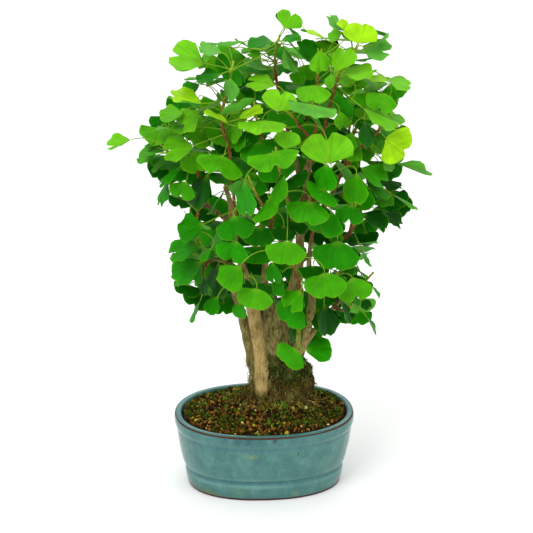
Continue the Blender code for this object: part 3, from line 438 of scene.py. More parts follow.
@dataclass(frozen=True)
class GinkgoBark(Finish):
    """Bark of an old stump and its limbs, grown and never cut smooth.

    The eye sees corky grey-olive ridges along the stem with dark furrows, a paler tight-skinned stem in
    front, red-brown skin on young shoots and moss on the foot, which turns to earth near the soil. Painted
    shade darkens the furrows, the creases and the scar further.
    """

    ridge: str = "a59660"
    furrow: str = "43381c"
    pale: str = "b59a5e"
    young: str = "965026"
    moss: str = "26380a"
    algae: str = "6f6a3a"
    # hollow is the colour of painted shade in furrows, creases and the scar
    hollow: str = "2b2110"
    fibre: float = 1.9
    blotch: float = 13.0
    crumb: float = 2.2
    earth_to: tuple[float, float] = (0.153, 0.14)

    def dress(self, tree: bpy.types.NodeTree) -> dict:
        """Ridges stretched along the stem; pale, young and mossy places, and painted shade in the furrows,
        come from the marks.
        """
        place = add_node(tree, "TexCoord").outputs["Object"]
        along = add_node(tree, "Mapping", {"Vector": place, "Scale": (1.0, 1.0, 0.2)})
        fibres = add_node(tree, "TexNoise", {
            "Vector": along, "Scale": per_mm(self.fibre), "Detail": 6.0, "Roughness": 0.75})
        blotch, crumbs = (add_node(tree, "TexNoise", {"Vector": place, "Scale": per_mm(size), "Detail": 4.0})
                          for size in (self.blotch, self.crumb))
        marks = add_node(tree, "VertexColor", layer_name="bark_marks")
        tight, young, mossy = add_node(tree, "SeparateColor", {"Color": marks}).outputs[:3]
        colour, tight_skin, young_skin = (add_node(tree, "ValToRGB", {"Fac": fibres}, stops) for stops in (
            ((0.36, self.furrow), (0.47, "7d7640"), (0.6, self.ridge)),
            ((0.3, "7c6232"), (0.46, self.pale), (0.66, "c9b078")),
            ((0.3, "6a3314"), (0.5, self.young), (0.7, "bc7c48"))))
        moss, earth = (add_node(tree, "ValToRGB", {"Fac": crumbs}, stops) for stops in (
            ((0.36, "0e0f03"), (0.46, "1c2408"), (0.56, self.moss), (0.7, "4a6010")),
            ((0.36, "1a1206"), (0.48, "40300f"), (0.58, "5e4a18"), (0.7, "7c6c26"))))
        rise = add_node(tree, "SeparateXYZ", {0: place}).outputs["Z"]
        waver = add_node(tree, "Math", {0: blotch, 1: 0.03, 2: rise}, operation="MULTIPLY_ADD")
        low = add_node(tree, "MapRange", {
            "Value": waver, "From Min": self.earth_to[0], "From Max": self.earth_to[1]})
        moss = add_node(tree, "MixRGB", {"Fac": low, "Color1": moss, "Color2": earth})
        stained = add_node(tree, "MapRange", {
            "Value": blotch, "From Min": 0.48, "From Max": 0.66, "To Max": 0.45})
        # Painted shade in furrows, creases and the scar, from the fourth mark
        painted_furrow_shade = add_node(tree, "MapRange", {
            "Value": marks.outputs["Alpha"], "From Min": 0.5, "From Max": 0.0, "To Max": 0.85})
        for share, tint, blend in ((tight, tight_skin, "MIX"), (young, young_skin, "MIX"),
                                   (stained, self.algae, "MULTIPLY"), (painted_furrow_shade, self.hollow, "MIX"),
                                   (mossy, moss, "MIX")):
            colour = add_node(tree, "MixRGB", {
                "Fac": share, "Color1": colour, "Color2": tint}, blend_type=blend)
        bump = add_node(tree, "Bump", {"Height": fibres, "Strength": 0.9, "Distance": 0.0018})
        return {"Base Color": colour, "Normal": bump}


@dataclass(frozen=True)
class YoungWood(Finish):
    """Skin of this year's and last year's twigs: smooth red-brown that turns yellow-green at the tip."""

    brown: tuple[str, str, str] = ("4c2a14", "80491f", "a47a4a")
    green: tuple[str, str, str] = ("6f8a12", "93ac20", "b4c646")
    fibre: float = 1.6

    def dress(self, tree: bpy.types.NodeTree) -> dict:
        """Brown and green skins, both streaked, mixed by the mark."""
        place = add_node(tree, "TexCoord").outputs["Object"]
        along = add_node(tree, "Mapping", {"Vector": place, "Scale": (1.0, 1.0, 0.3)})
        fibres = add_node(tree, "TexNoise", {"Vector": along, "Scale": per_mm(self.fibre), "Detail": 4.0})
        brown, green = (add_node(tree, "ValToRGB", {"Fac": fibres}, tuple(zip((0.3, 0.5, 0.7), skin)))
                        for skin in (self.brown, self.green))
        marks = add_node(tree, "VertexColor", layer_name="bark_marks")
        share = add_node(tree, "SeparateColor", {"Color": marks}).outputs["Green"]
        colour = add_node(tree, "MixRGB", {"Fac": share, "Color1": brown, "Color2": green})
        bump = add_node(tree, "Bump", {"Height": fibres, "Strength": 0.4, "Distance": 0.0005})
        return {"Base Color": colour, "Normal": bump}


@dataclass(frozen=True)
class GinkgoLeaf(Finish):
    """Summer ginkgo leaf: a thin, leathery, softly glossy fan.

    The eye sees fine veins that fork from the stalk to the edge, a thin yellowish edge, a paler and
    duller underside, and light that glows through. Veins stand under 1 mm apart, too fine for the
    picture, so they are drawn in bands of about 2 mm at the edge.
    """

    # The tone ramp runs from dark through mid to light: the dark end is painted shade and the light end
    # painted light
    dark: str = "0a4c00"
    mid: str = "228700"
    light: str = "6cb816"
    fresh: str = "9cd414"
    under: str = "58a236"
    stalk: str = "7da428"
    edge: str = "84b424"
    vein_bands: float = 34.0
    cloud: float = 15.0

    def dress(self, tree: bpy.types.NodeTree) -> dict:
        """Tone, with its painted light and shade, youth, underside and stalk from the marks; veins from the
        fan's own angle and radius.
        """
        fan = add_node(tree, "UVMap", uv_map="fan")
        reach = add_node(tree, "SeparateXYZ", {0: fan}).outputs["Y"]
        marks = add_node(tree, "VertexColor", layer_name="leaf_marks")
        tone, young, lower = add_node(tree, "SeparateColor", {"Color": marks}).outputs[:3]
        place = add_node(tree, "TexCoord").outputs["Object"]
        drawn_out = add_node(tree, "Mapping", {"Vector": fan, "Scale": (self.vein_bands, 1.1, 1.0)})
        drift = add_node(tree, "VectorMath", {0: drawn_out, 1: place}, operation="ADD")
        veins = add_node(tree, "TexNoise", {"Vector": drift, "Scale": 1.0, "Detail": 3.0, "Roughness": 0.6})
        veined = add_node(tree, "ValToRGB", {"Fac": veins}, ((0.3, 0.84), (0.5, 1.0), (0.7, 1.16)))
        cloud = add_node(tree, "TexNoise", {"Vector": place, "Scale": per_mm(self.cloud), "Detail": 2.0})
        cloudy = add_node(tree, "ValToRGB", {"Fac": cloud}, ((0.3, 0.86), (0.7, 1.14)))
        rim = add_node(tree, "MapRange", {"Value": reach, "From Min": 0.97, "From Max": 1.0, "To Max": 0.4})
        heart = add_node(tree, "MapRange", {"Value": reach, "From Min": 0.3, "From Max": 0.0, "To Max": 0.5})
        # Tone ramp: painted shade towards dark, painted light towards light
        colour = add_node(tree, "ValToRGB", {"Fac": tone}, (
            (0.0, self.dark), (0.5, self.mid), (1.0, self.light)))
        for share, tint, blend in (
                (young, self.fresh, "MIX"), (lower, self.under, "MIX"), (1.0, veined, "MULTIPLY"),
                (1.0, cloudy, "MULTIPLY"), (rim, self.edge, "MIX"), (heart, self.stalk, "MIX"),
                (marks.outputs["Alpha"], self.stalk, "MIX")):
            colour = add_node(tree, "MixRGB", {
                "Fac": share, "Color1": colour, "Color2": tint}, blend_type=blend)
        bump = add_node(tree, "Bump", {"Height": veins, "Strength": 0.35, "Distance": 0.0004})
        return {"Base Color": colour, "Normal": bump, "Subsurface Weight": 0.12,
                "Subsurface Radius": (0.5, 1.0, 0.1), "Subsurface Scale": 0.0012}


@dataclass(frozen=True)
class PlantFibre(Finish):
    """Moss, grass and hair roots: thin dull strands, each with its own colour from its mark."""

    fleck: float = 3.0

    def dress(self, tree: bpy.types.NodeTree) -> dict:
        """Colour from the strand's mark, varied along it."""
        place = add_node(tree, "TexCoord").outputs["Object"]
        marks = add_node(tree, "VertexColor", layer_name="strand_colour")
        noise = add_node(tree, "TexNoise", {"Vector": place, "Scale": per_mm(self.fleck)})
        shade = add_node(tree, "ValToRGB", {"Fac": noise}, ((0.3, 0.6), (0.7, 1.3)))
        return {"Base Color": add_node(tree, "MixRGB", {
            "Fac": 1.0, "Color1": marks, "Color2": shade}, blend_type="MULTIPLY")}


@dataclass(frozen=True)
class PlainTone(Finish):
    """One stuff whose colour drifts a little between two tones over patches of one size."""

    tones: tuple = (0.5, 0.5)
    patch: float = 4.0

    def dress(self, tree: bpy.types.NodeTree) -> dict:
        """A soft cloud between the two tones."""
        place = add_node(tree, "TexCoord").outputs["Object"]
        noise = add_node(tree, "TexNoise", {"Vector": place, "Scale": per_mm(self.patch)})
        return {"Base Color": add_node(tree, "ValToRGB", {"Fac": noise}, tuple(zip((0.3, 0.7), self.tones)))}


@dataclass(frozen=True)
class MeshPlastic(PlainTone):
    """Moulded green-black polyethylene mesh: waxy, faintly uneven."""

    tones: tuple = ("12261a", "24402c")
    patch: float = 4.0


@dataclass(frozen=True)
class StudioPaper(PlainTone):
    """Matt white paper of a plain studio, with a grain that is barely there."""

    tones: tuple = (0.9, 0.93)
    patch: float = 400.0


class Finishes(Enum):
    """The finishes on this object and its stage."""

    GLAZE = GlazedStoneware("glazed_stoneware", 0.22, 1.52, 0.45)
    SOIL = AkadamaSoil("akadama_soil", 0.92, 1.4, 0.08)
    BARK = GinkgoBark("ginkgo_bark", 0.78, 1.45, 0.12)
    TWIG = YoungWood("ginkgo_twig", 0.6, 1.45, 0.2)
    LEAF = GinkgoLeaf("ginkgo_leaf", 0.5, 1.45, 0.07)
    STRAND = PlantFibre("moss_and_roots", 0.8, 1.4, 0.08)
    PLASTIC = MeshPlastic("mesh_plastic", 0.5, 1.5, 0.4)
    PAPER = StudioPaper("studio_paper", 0.95, 1.4, 0.1)


# The front view
@dataclass(frozen=True)
class FrontView:
    """Where the eye of the picture stands, in millimetres, for turning places in it into space."""

    distance: float = 2600.0
    rise: float = math.radians(22.0)
    aim: tuple[float, float, float] = (3.0, 0.0, 282.0)
    middle: float = 266.5
    scale: float = 2170.0
    size: int = 533

    @property
    def right(self) -> Array:
        """Direction of the picture's right."""
        return np.array([1.0, 0.0, 0.0])

    @property
    def up(self) -> Array:
        """Direction of the picture's top."""
        return np.array([0.0, math.sin(self.rise), math.cos(self.rise)])

    @property
    def to_eye(self) -> Array:
        """Direction from the tree to the eye."""
        return np.array([0.0, -math.cos(self.rise), math.sin(self.rise)])

    @property
    def eye(self) -> Array:
        """Place of the eye."""
        return np.array(self.aim) + self.distance * self.to_eye

    def place(self, x: float, y: float, depth: float) -> Array:
        """Find the point that shows at (x, y), on the upright plane at a depth.

        Args:
            x: Pixels from the left.
            y: Pixels from the top.
            depth: The plane's y in space, in millimetres.

        Returns:
            The point in space.
        """
        across = (x - self.middle) / self.scale
        above = (self.middle - y) / self.scale
        ray = -self.to_eye + self.right * across + self.up * above
        return self.eye + ray * ((depth - self.eye[1]) / ray[1])

    def shown(self, points: Array) -> tuple[Array, Array, Array]:
        """Find where points show.

        Args:
            points: Rows of places in space.

        Returns:
            Pixels from the left, pixels from the top, and distance from the eye.
        """
        away = np.atleast_2d(points) - self.eye
        distance = -away @ self.to_eye
        x = self.middle + self.scale * (away @ self.right) / distance
        y = self.middle - self.scale * (away @ self.up) / distance
        return x, y, distance


VIEW = FrontView()


# Pot
@dataclass(frozen=True)
class Oval:
    """Plan of the pot: an oval a little squarer than an ellipse, turned about the upright."""

    half_length: float = 110.0
    half_width: float = 80.0
    yaw: float = math.radians(4.0)
    power: float = 2.25

    def ring(self, inset: Array | float, height: Array | float, sides: int) -> Array:
        """Points on the oval: signed powers of cosine and sine, then turned.

        Args:
            inset: How far the ring stands in from the full oval, for one ring or for several.
            height: Height of the ring or of each ring.
            sides: Points in a ring.

        Returns:
            An array of (rings, sides, 3), or (sides, 3) for one ring.
        """
        return plan_oval(self.half_length - np.asarray(inset), self.half_width - np.asarray(inset), height,
                         (0.0, 0.0), sides, self.power, self.yaw)

    def along(self, offset: float) -> tuple[float, float]:
        """Place on the long axis at that distance from the middle."""
        return offset * math.cos(self.yaw), offset * math.sin(self.yaw)


def plan_oval(half_x: Array | float, half_y: Array | float, height: Array | float,
              middle: tuple[float, float], sides: int, power: float, yaw: float) -> Array:
    """Rings of points on ovals: x and y are signed powers of cosine and sine.

    Args:
        half_x: Half size along x before the turn.
        half_y: Half size along y before the turn.
        height: Height of each ring.
        middle: Middle of the oval.
        sides: Points in a ring.
        power: 2 is an ellipse, more is squarer.
        yaw: Turn about the upright.

    Returns:
        An array of (rings, sides, 3), or (sides, 3) for one ring.
    """
    turn = np.arange(sides) * 2 * math.pi / sides
    x = np.asarray(half_x, float)[..., None] * np.sign(np.cos(turn)) * np.abs(np.cos(turn)) ** (2 / power)
    y = np.asarray(half_y, float)[..., None] * np.sign(np.sin(turn)) * np.abs(np.sin(turn)) ** (2 / power)
    cos, sin = math.cos(yaw), math.sin(yaw)
    z = np.broadcast_to(np.asarray(height, float)[..., None], x.shape)
    return np.stack([middle[0] + x * cos - y * sin, middle[1] + x * sin + y * cos, z], -1)


@dataclass
class Pot:
    """Glazed oval pot, hollow, with two drainage holes.

    Profile rows are (inset, height), foot to rim. Rows of the bands, where glaze is pooled or thin, are
    (height, reach, strength). Pooled bands are partly painted shade, thin bands partly painted highlight.
    """

    plan: Oval = field(default_factory=Oval)
    floor: float = 8.0
    sides: int = 144
    drain_radius: float = 7.0
    drain_offset: float = 42.0
    drain_sides: int = 40
    sharp: float = math.radians(50)
    # Pooled bands, partly painted shade under the rim, on it, in the groove and near the foot; thin bands,
    # partly painted highlight by the groove
    pooled_and_shaded_bands: tuple = ((74.5, 2.6, 0.5), (85.0, 5.0, 0.22), (25.0, 3.0, 0.55), (6.0, 3.0, 0.25))
    thin_and_lit_bands: tuple = ((20.0, 2.6, 0.5), (29.5, 2.5, 0.3))
    outer: tuple = (
        (16.8, 0.0), (15.6, 0.6), (15.0, 2.2), (14.4, 5.0), (13.3, 10.0), (12.5, 16.0), (12.2, 20.5),
        (12.9, 22.8), (13.7, 24.2), (13.4, 26.0), (11.6, 27.8), (10.2, 30.0), (8.4, 36.0), (7.0, 43.0),
        (5.5, 51.5), (4.2, 60.0), (3.3, 68.0), (2.9, 73.0), (2.7, 76.0), (2.1, 77.8), (0.9, 79.4),
        (0.3, 81.5), (0.0, 85.0), (0.1, 88.0), (0.5, 90.2), (1.1, 91.5), (2.0, 92.5), (3.2, 93.0))
    inner: tuple = (
        (5.4, 93.1), (7.0, 92.7), (8.4, 91.6), (9.4, 89.6), (10.6, 82.0), (13.0, 55.0), (15.4, 36.0),
        (18.0, 22.0), (21.4, 13.5), (26.0, 9.5), (31.0, 8.0))

    def profile(self) -> tuple[Array, Array]:
        """Round the profile's corners: three even steps a row, then a weighted mean of five.

        Returns:
            Rows of (inset, height), and which of the rows lie on the outside.
        """
        rows = np.array(self.outer + self.inner)
        steps = np.linspace(0, len(rows) - 1, (len(rows) - 1) * 3 + 1)
        fine = np.stack([np.interp(steps, np.arange(len(rows)), rows[:, k]) for k in (0, 1)], 1)
        soft = fine.copy()
        soft[2:-2] = (fine[:-4] + 2 * fine[1:-3] + 3 * fine[2:-2] + 2 * fine[3:-1] + fine[4:]) / 9
        return soft, steps < len(self.outer)

    def marks(self, rows: Array, outside: Array, points: Array) -> Array:
        """Work out where the glaze is bare, pooled with painted shade, and thin with a painted highlight.

        Args:
            rows: Profile rows.
            outside: Which rows lie on the outside.
            points: Rings of points in the order of the rows.

        Returns:
            Four numbers for each point: bare, pooled with painted shade, thin with painted highlight, and
                one.
        """
        inset, height = rows[:, 0:1], rows[:, 1:2]
        out = outside[:, None].astype(float)
        angle = np.linspace(0, 2 * math.pi, self.sides, endpoint=False)[None]
        waver = 0.5 + 0.28 * np.sin(3 * angle + 1.0) + 0.22 * np.sin(7 * angle + 0.4)
        corner = bell(height, 91.2, 1.35) * (inset < 3.2) * (0.72 + 0.36 * waver)
        foot = smoothstep(4.6, 2.2, height) * (0.75 + 0.25 * waver)
        bare = np.clip(out * np.maximum(corner, foot), 0, 1)
        # Outside: pooled glaze with painted shade, and thin glaze with painted highlight, in bands
        pooled_and_shaded, thin = (sum(bell(height, middle, reach) * strength for middle, reach, strength in bands)
                        for bands in (self.pooled_and_shaded_bands, self.thin_and_lit_bands))
        # Inside: painted shade that deepens below the rim, and painted highlight on the inner rim's top
        inside = 0.35 + smoothstep(92.0, 87.0, height) * 0.45 + 0 * angle
        pooled_and_shaded = np.where(out > 0, pooled_and_shaded * (0.55 + 0.75 * waver), inside)
        thin = np.where(out > 0, thin * waver * 1.2, bell(inset, 5.5, 2.0) * 0.15)
        shown = np.stack(np.broadcast_arrays(bare, np.clip(pooled_and_shaded, 0, 1), np.clip(thin, 0, 1), 1.0), -1)
        return np.broadcast_to(shown, (*points.shape[:2], 4)).reshape(-1, 4)

    def build(self) -> None:
        """Loft the profile round the plan, thrown a little unevenly, and drill the drainage holes."""
        rows, outside = self.profile()
        rings = self.plan.ring(rows[:, 0], rows[:, 1], self.sides)
        flat = rings.reshape(-1, 3)
        uneven = (lattice_noise(flat, 38.0, 3) - 0.5) * 0.9 + (lattice_noise(flat, 11.0, 4) - 0.5) * 0.22
        held = smoothstep(0.0, 6.0, flat[:, 2])
        flat[:, :2] += unit_rows(flat[:, :2]) * (uneven * held)[:, None]
        rings = flat.reshape(rings.shape)
        pot = add_mesh("pot_body", *loft(list(rings)))
        set_marks(pot, "glaze_marks", self.marks(rows, outside, rings))
        self.drill(pot)
        hand_over(pot, Finishes.GLAZE.value, "glazed_stoneware", "pot")

    def drill(self, pot: bpy.types.Object) -> None:
        """Cut the two round holes through the floor.

        Args:
            pot: The lofted pot.
        """
        for offset in (-self.drain_offset, self.drain_offset):
            rings = plan_oval([self.drain_radius] * 2, [self.drain_radius] * 2, [-5.0, self.floor + 5.0],
                              self.plan.along(offset), self.drain_sides, 2.0, 0.0)
            drill = add_mesh("drill", *loft(list(rings)))
            cut = pot.modifiers.new("hole", "BOOLEAN")
            cut.operation, cut.solver, cut.object = "DIFFERENCE", "EXACT", drill
            settle(pot)
            bpy.data.objects.remove(drill, do_unlink=True)
        pot.data.set_sharp_from_angle(angle=self.sharp)


@dataclass
class DrainMesh:
    """Square of plastic mesh over a drainage hole: crossed strands with open squares between."""

    name: str
    offset: float
    side: float = 26.0
    thick: float = 1.2
    cells: int = 8
    strand: float = 1.1

    def build(self, pot: Pot) -> None:
        """Tile the strands: a square of the tiling is solid where its row or its column is a strand.

        Args:
            pot: The pot that it lies in.
        """
        pitch = (self.side - self.strand) / self.cells
        lines = np.sort(np.concatenate([np.arange(self.cells + 1) * pitch,
                                        np.arange(self.cells + 1) * pitch + self.strand])) - self.side / 2
        count = len(lines)
        strand = np.arange(count - 1) % 2 == 0
        solid = strand[:, None] | strand[None, :]
        x, y = np.meshgrid(lines, lines, indexing="ij")
        middle = pot.plan.along(self.offset)
        low = pot.floor + GAP
        layers = [np.stack([x + middle[0], y + middle[1], np.full_like(x, z)], -1).reshape(-1, 3)
                  for z in (low, low + self.thick)]
        number = np.arange(count * count).reshape(count, count)
        faces = self.flat_faces(number, solid, count * count)
        faces += self.wall_faces(number, solid, count * count)
        plate = add_mesh(self.name + "_strands", np.concatenate(layers), np.concatenate(faces), smooth=False)
        hand_over(plate, Finishes.PLASTIC.value, "mesh_plastic", self.name)

    @staticmethod
    def flat_faces(number: Array, solid: Array, above: int) -> list[Array]:
        """Quads of the lower and upper sides.

        Args:
            number: Point numbers of the lower layer.
            solid: Which squares are solid.
            above: What to add to a number for the upper layer.

        Returns:
            Two arrays of quads.
        """
        a, b = number[:-1, :-1][solid], number[1:, :-1][solid]
        c, d = number[1:, 1:][solid], number[:-1, 1:][solid]
        return [np.stack([d, c, b, a], 1), np.stack([a, b, c, d], 1) + above]

    @staticmethod
    def wall_faces(number: Array, solid: Array, above: int) -> list[Array]:
        """Quads of the upright sides: one wherever a solid square meets an open one.

        Args:
            number: Point numbers of the lower layer.
            solid: Which squares are solid.
            above: What to add to a number for the upper layer.

        Returns:
            Four arrays of quads, one for each side.
        """
        padded = np.pad(solid, 1)
        size = solid.shape[0]
        faces = []
        for dx, dy, first, second in ((-1, 0, (0, 1), (0, 0)), (1, 0, (1, 0), (1, 1)),
                                      (0, -1, (0, 0), (1, 0)), (0, 1, (1, 1), (0, 1))):
            beside = padded[1 + dx:1 + dx + size, 1 + dy:1 + dy + size]
            rows, columns = np.nonzero(solid & ~beside)
            a = number[rows + first[0], columns + first[1]]
            b = number[rows + second[0], columns + second[1]]
            faces.append(np.stack([a, b, b + above, a + above], 1))
        return faces


# Soil
@dataclass
class Soil:
    """Grainy soil that fills the pot and rises to the trunk.

    Rows of the walls are (inset, height) inside the pot, rows of the grains are (name, count, fine,
    smallest, largest, seed), and kinds of grain are (colour, share).
    """

    edge: float = 90.8
    mound_rise: float = 20.0
    mound_reach: tuple[float, float] = (60.0, 46.0)
    mound_power: float = 1.4
    trunk_at: tuple[float, float] = (14.0, 14.0)
    plug_half: tuple[float, float] = (33.0, 25.0)
    plug_floor: float = 64.0
    trunk_half: tuple[float, float] = (30.0, 20.0)
    sides: int = 150
    bed_rings: int = 34
    walls: tuple = ((31.0, 8.6), (26.4, 10.0), (18.5, 22.2), (13.5, 55.0), (10.9, 82.0), (10.2, 86.6))
    grain_inset: float = 12.2
    grains: tuple = (
        ("soil_small_grains", 1900, False, 1.1, 2.1, 21), ("soil_large_grains", 430, True, 1.6, 2.7, 22))
    grain_kinds: tuple = (
        ("20150a", 0.17), ("3c280e", 0.23), ("603f14", 0.22), ("835a1e", 0.12), ("9c6a2a", 0.05),
        ("35440c", 0.09), ("566a16", 0.06), ("a6962a", 0.05), ("c8ba74", 0.008), ("15100a", 0.03))

    def surface(self, x: Array, y: Array) -> Array:
        """Height of the soil: a bell-shaped mound about the trunk on a level edge."""
        across = ((x - self.trunk_at[0]) / self.mound_reach[0]) ** 2
        along = ((y - self.trunk_at[1]) / self.mound_reach[1]) ** 2
        return self.edge + self.mound_rise * np.exp(-((across + along) ** self.mound_power))

    def build_bed(self, plan: Oval) -> None:
        """Build the bed under the grains: the pot's inside below, a dimpled mound above.

        Args:
            plan: The pot's plan.
        """
        walls = np.array(self.walls)
        rings = list(plan.ring(walls[:, 0], walls[:, 1], self.sides))
        outer = plan.ring(10.4, 0.0, self.sides)
        half_x, half_y = (half - 6 for half in self.plug_half)
        inner = plan_oval(half_x, half_y, 0.0, self.trunk_at, self.sides, 2.0, 0.0)
        for share in np.linspace(1.0, 0.0, self.bed_rings):
            ring = inner + (outer - inner) * share
            rough = (lattice_noise(ring * (1, 1, 0), 4.2, 7) - 0.5) * 3.0
            ring[:, 2] = self.surface(ring[:, 0], ring[:, 1]) + rough * smoothstep(1.0, 0.96, share) - 0.6
            rings.append(ring)
        floor = inner.copy()
        floor[:, 2] = self.plug_floor
        points, faces = loft(rings + [floor])
        bed = add_mesh("soil_bed", points, faces)
        tone = lattice_noise(points, 3.1, 9)[:, None]
        dark, brown = np.array(linear("160e06")), np.array(linear("3d2610"))
        set_marks(bed, "grain_colour", dark + (brown - dark) * tone)
        hand_over(bed, Finishes.SOIL.value, "akadama_soil", "soil")

    def grain_places(self, plan: Oval, count: int, random: np.random.Generator) -> Array:
        """Scatter places over the soil by a low-discrepancy rule: steps of two irrational shares.

        Args:
            plan: The pot's plan.
            count: How many places.
            random: Source of the jitter.

        Returns:
            Rows of x, y, z on the surface.
        """
        n = np.arange(count)
        reach = np.sqrt((n * 0.7548776662 + random.uniform()) % 1.0)
        turn = ((n * 0.5698402910 + random.uniform()) % 1.0) * 2 * math.pi
        half_x, half_y = plan.half_length - self.grain_inset, plan.half_width - self.grain_inset
        cos, sin = np.cos(turn), np.sin(turn)
        x = half_x * reach * np.sign(cos) * np.abs(cos) ** (2 / plan.power)
        y = half_y * reach * np.sign(sin) * np.abs(sin) ** (2 / plan.power)
        turned = np.stack([x * math.cos(plan.yaw) - y * math.sin(plan.yaw),
                           x * math.sin(plan.yaw) + y * math.cos(plan.yaw)], 1)
        turned += random.uniform(-1.2, 1.2, (count, 2))
        off_trunk = (((turned - self.trunk_at) / self.trunk_half) ** 2).sum(1)
        turned = turned[off_trunk > 1.0]
        return np.column_stack([turned, self.surface(*turned.T)])

    def build_grains(self, plan: Oval) -> None:
        """Scatter two sizes of clay grain: crumpled icosahedra, half sunk, each with its own colour.

        Args:
            plan: The pot's plan.
        """
        for name, count, fine, low, high, seed in self.grains:
            random = np.random.default_rng(seed)
            places = self.grain_places(plan, count, random)
            stone, faces = ico_sphere(fine)
            size = random.uniform(low, high, (len(places), 1, 1))
            size = size * random.uniform(0.75, 1.2, (len(places), 1, 3))
            crumple = 1 + random.uniform(-0.2, 0.16, (len(places), len(stone), 1))
            turn = random_turns(len(places), random)
            points = np.einsum("nij,nkj->nki", turn, stone[None] * size * crumple)
            lift = random.uniform(-0.2, 1.1, (len(places), 1))
            points += (places + np.column_stack([np.zeros((len(places), 2)), lift]))[:, None]
            starts = (np.arange(len(places)) * len(stone))[:, None, None]
            made = add_mesh(name, points.reshape(-1, 3), (faces[None] + starts).reshape(-1, 3), smooth=fine)
            set_marks(made, "grain_colour", np.repeat(self.grain_colours(places, random), len(stone), axis=0))
            hand_over(made, Finishes.SOIL.value, "akadama_soil", "soil")

    def grain_colours(self, places: Array, random: np.random.Generator) -> Array:
        """Pick each grain's colour: mostly browns, with moss, ochre and pale ones.

        Args:
            places: The grains' places.
            random: Source of the choice.

        Returns:
            A colour for each grain.
        """
        colours = np.array([linear(code) for code, _ in self.grain_kinds])
        odds = np.array([share for _, share in self.grain_kinds])
        picked = colours[random.choice(len(odds), len(places), p=odds / odds.sum())].copy()
        picked[:, :3] *= random.uniform(0.75, 1.25, (len(places), 1))
        mossy = lattice_noise(places, 24.0, 5) + random.uniform(-0.1, 0.1, len(places)) > 0.6
        greener = mossy & (random.uniform(size=len(places)) < 0.55)
        picked[greener] = np.array(linear("415213")) * random.uniform(0.6, 1.3)
        picked[:, 3] = 1.0
        return picked

    def build(self, plan: Oval) -> None:
        """Build the bed and the grains on it.

        Args:
            plan: The pot's plan.
        """
        self.build_bed(plan)
        self.build_grains(plan)


def ico_sphere(fine: bool) -> tuple[Array, Array]:
    """Icosahedron of radius one, from three golden rectangles, split once into 80 faces when fine.

    Args:
        fine: Whether each face is split into four.

    Returns:
        Points and triangles.
    """
    g = (1 + math.sqrt(5)) / 2
    points = np.array([(-1, g, 0), (1, g, 0), (-1, -g, 0), (1, -g, 0), (0, -1, g), (0, 1, g), (0, -1, -g),
                       (0, 1, -g), (g, 0, -1), (g, 0, 1), (-g, 0, -1), (-g, 0, 1)], float)
    faces = np.array([(0, 11, 5), (0, 5, 1), (0, 1, 7), (0, 7, 10), (0, 10, 11), (1, 5, 9), (5, 11, 4),
                      (11, 10, 2), (10, 7, 6), (7, 1, 8), (3, 9, 4), (3, 4, 2), (3, 2, 6), (3, 6, 8),
                      (3, 8, 9), (4, 9, 5), (2, 4, 11), (6, 2, 10), (8, 6, 7), (9, 8, 1)])
    if fine:
        edges = np.sort(np.concatenate([faces[:, [0, 1]], faces[:, [1, 2]], faces[:, [2, 0]]]), axis=1)
        lone, where = np.unique(edges, axis=0, return_inverse=True)
        ab, bc, ca = (where.reshape(3, -1) + len(points))
        points = np.concatenate([points, points[lone].mean(1)])
        a, b, c = faces.T
        corners = ((a, ab, ca), (b, bc, ab), (c, ca, bc), (ab, bc, ca))
        faces = np.concatenate([np.stack(row, 1) for row in corners])
    return unit_rows(points), faces


def random_turns(count: int, random: np.random.Generator) -> Array:
    """Turning matrices about random axes, from random unit quaternions.

    Args:
        count: How many.
        random: Source of the turns.

    Returns:
        An array of (count, 3, 3).
    """
    q = random.normal(size=(count, 4))
    w, x, y, z = unit_rows(q).T
    rows = [[1 - 2 * (y * y + z * z), 2 * (x * y - w * z), 2 * (x * z + w * y)],
            [2 * (x * y + w * z), 1 - 2 * (x * x + z * z), 2 * (y * z - w * x)],
            [2 * (x * z - w * y), 2 * (y * z + w * x), 1 - 2 * (x * x + y * y)]]
    return np.moveaxis(np.array(rows), -1, 0)


# Tree: what the front view tells
class Limb(NamedTuple):
    """A bark-covered stem: knots are (view x, view y, depth, radius)."""

    name: str
    knots: tuple
    sides: int = 5


class Shoot(NamedTuple):
    """A leafy twig on the limb of that name, leaving it at a knot: later knots as in Limb."""

    name: str
    limb: str
    knot: int
    knots: tuple
    fills: int


class Seen(NamedTuple):
    """A leaf that shows from the front: base and outer edge in the view, span, depth."""

    base: tuple
    edge: tuple
    span: float
    depth: float
    shows_back: bool = False


class Leaf(NamedTuple):
    """A leaf in space: blade frame, form, and the stalk's root and bend."""

    base: Array
    side: Array
    axis: Array
    face: Array
    length: float
    spread: float
    form: tuple
    root: Array
    bend: Array | None


class Look(NamedTuple):
    """How a leaf is coloured: tone from dark (0) to light (1), and how young and yellow it is.

    The tone is partly the leaf's own and partly painted light and painted shade.
    """

    tone: float
    fresh: float


class Twig(NamedTuple):
    """The two parts of a shoot's stem: the stub on the limb, and the leafy twig."""

    name: str
    stub: Array
    twig: Array
    fills: int


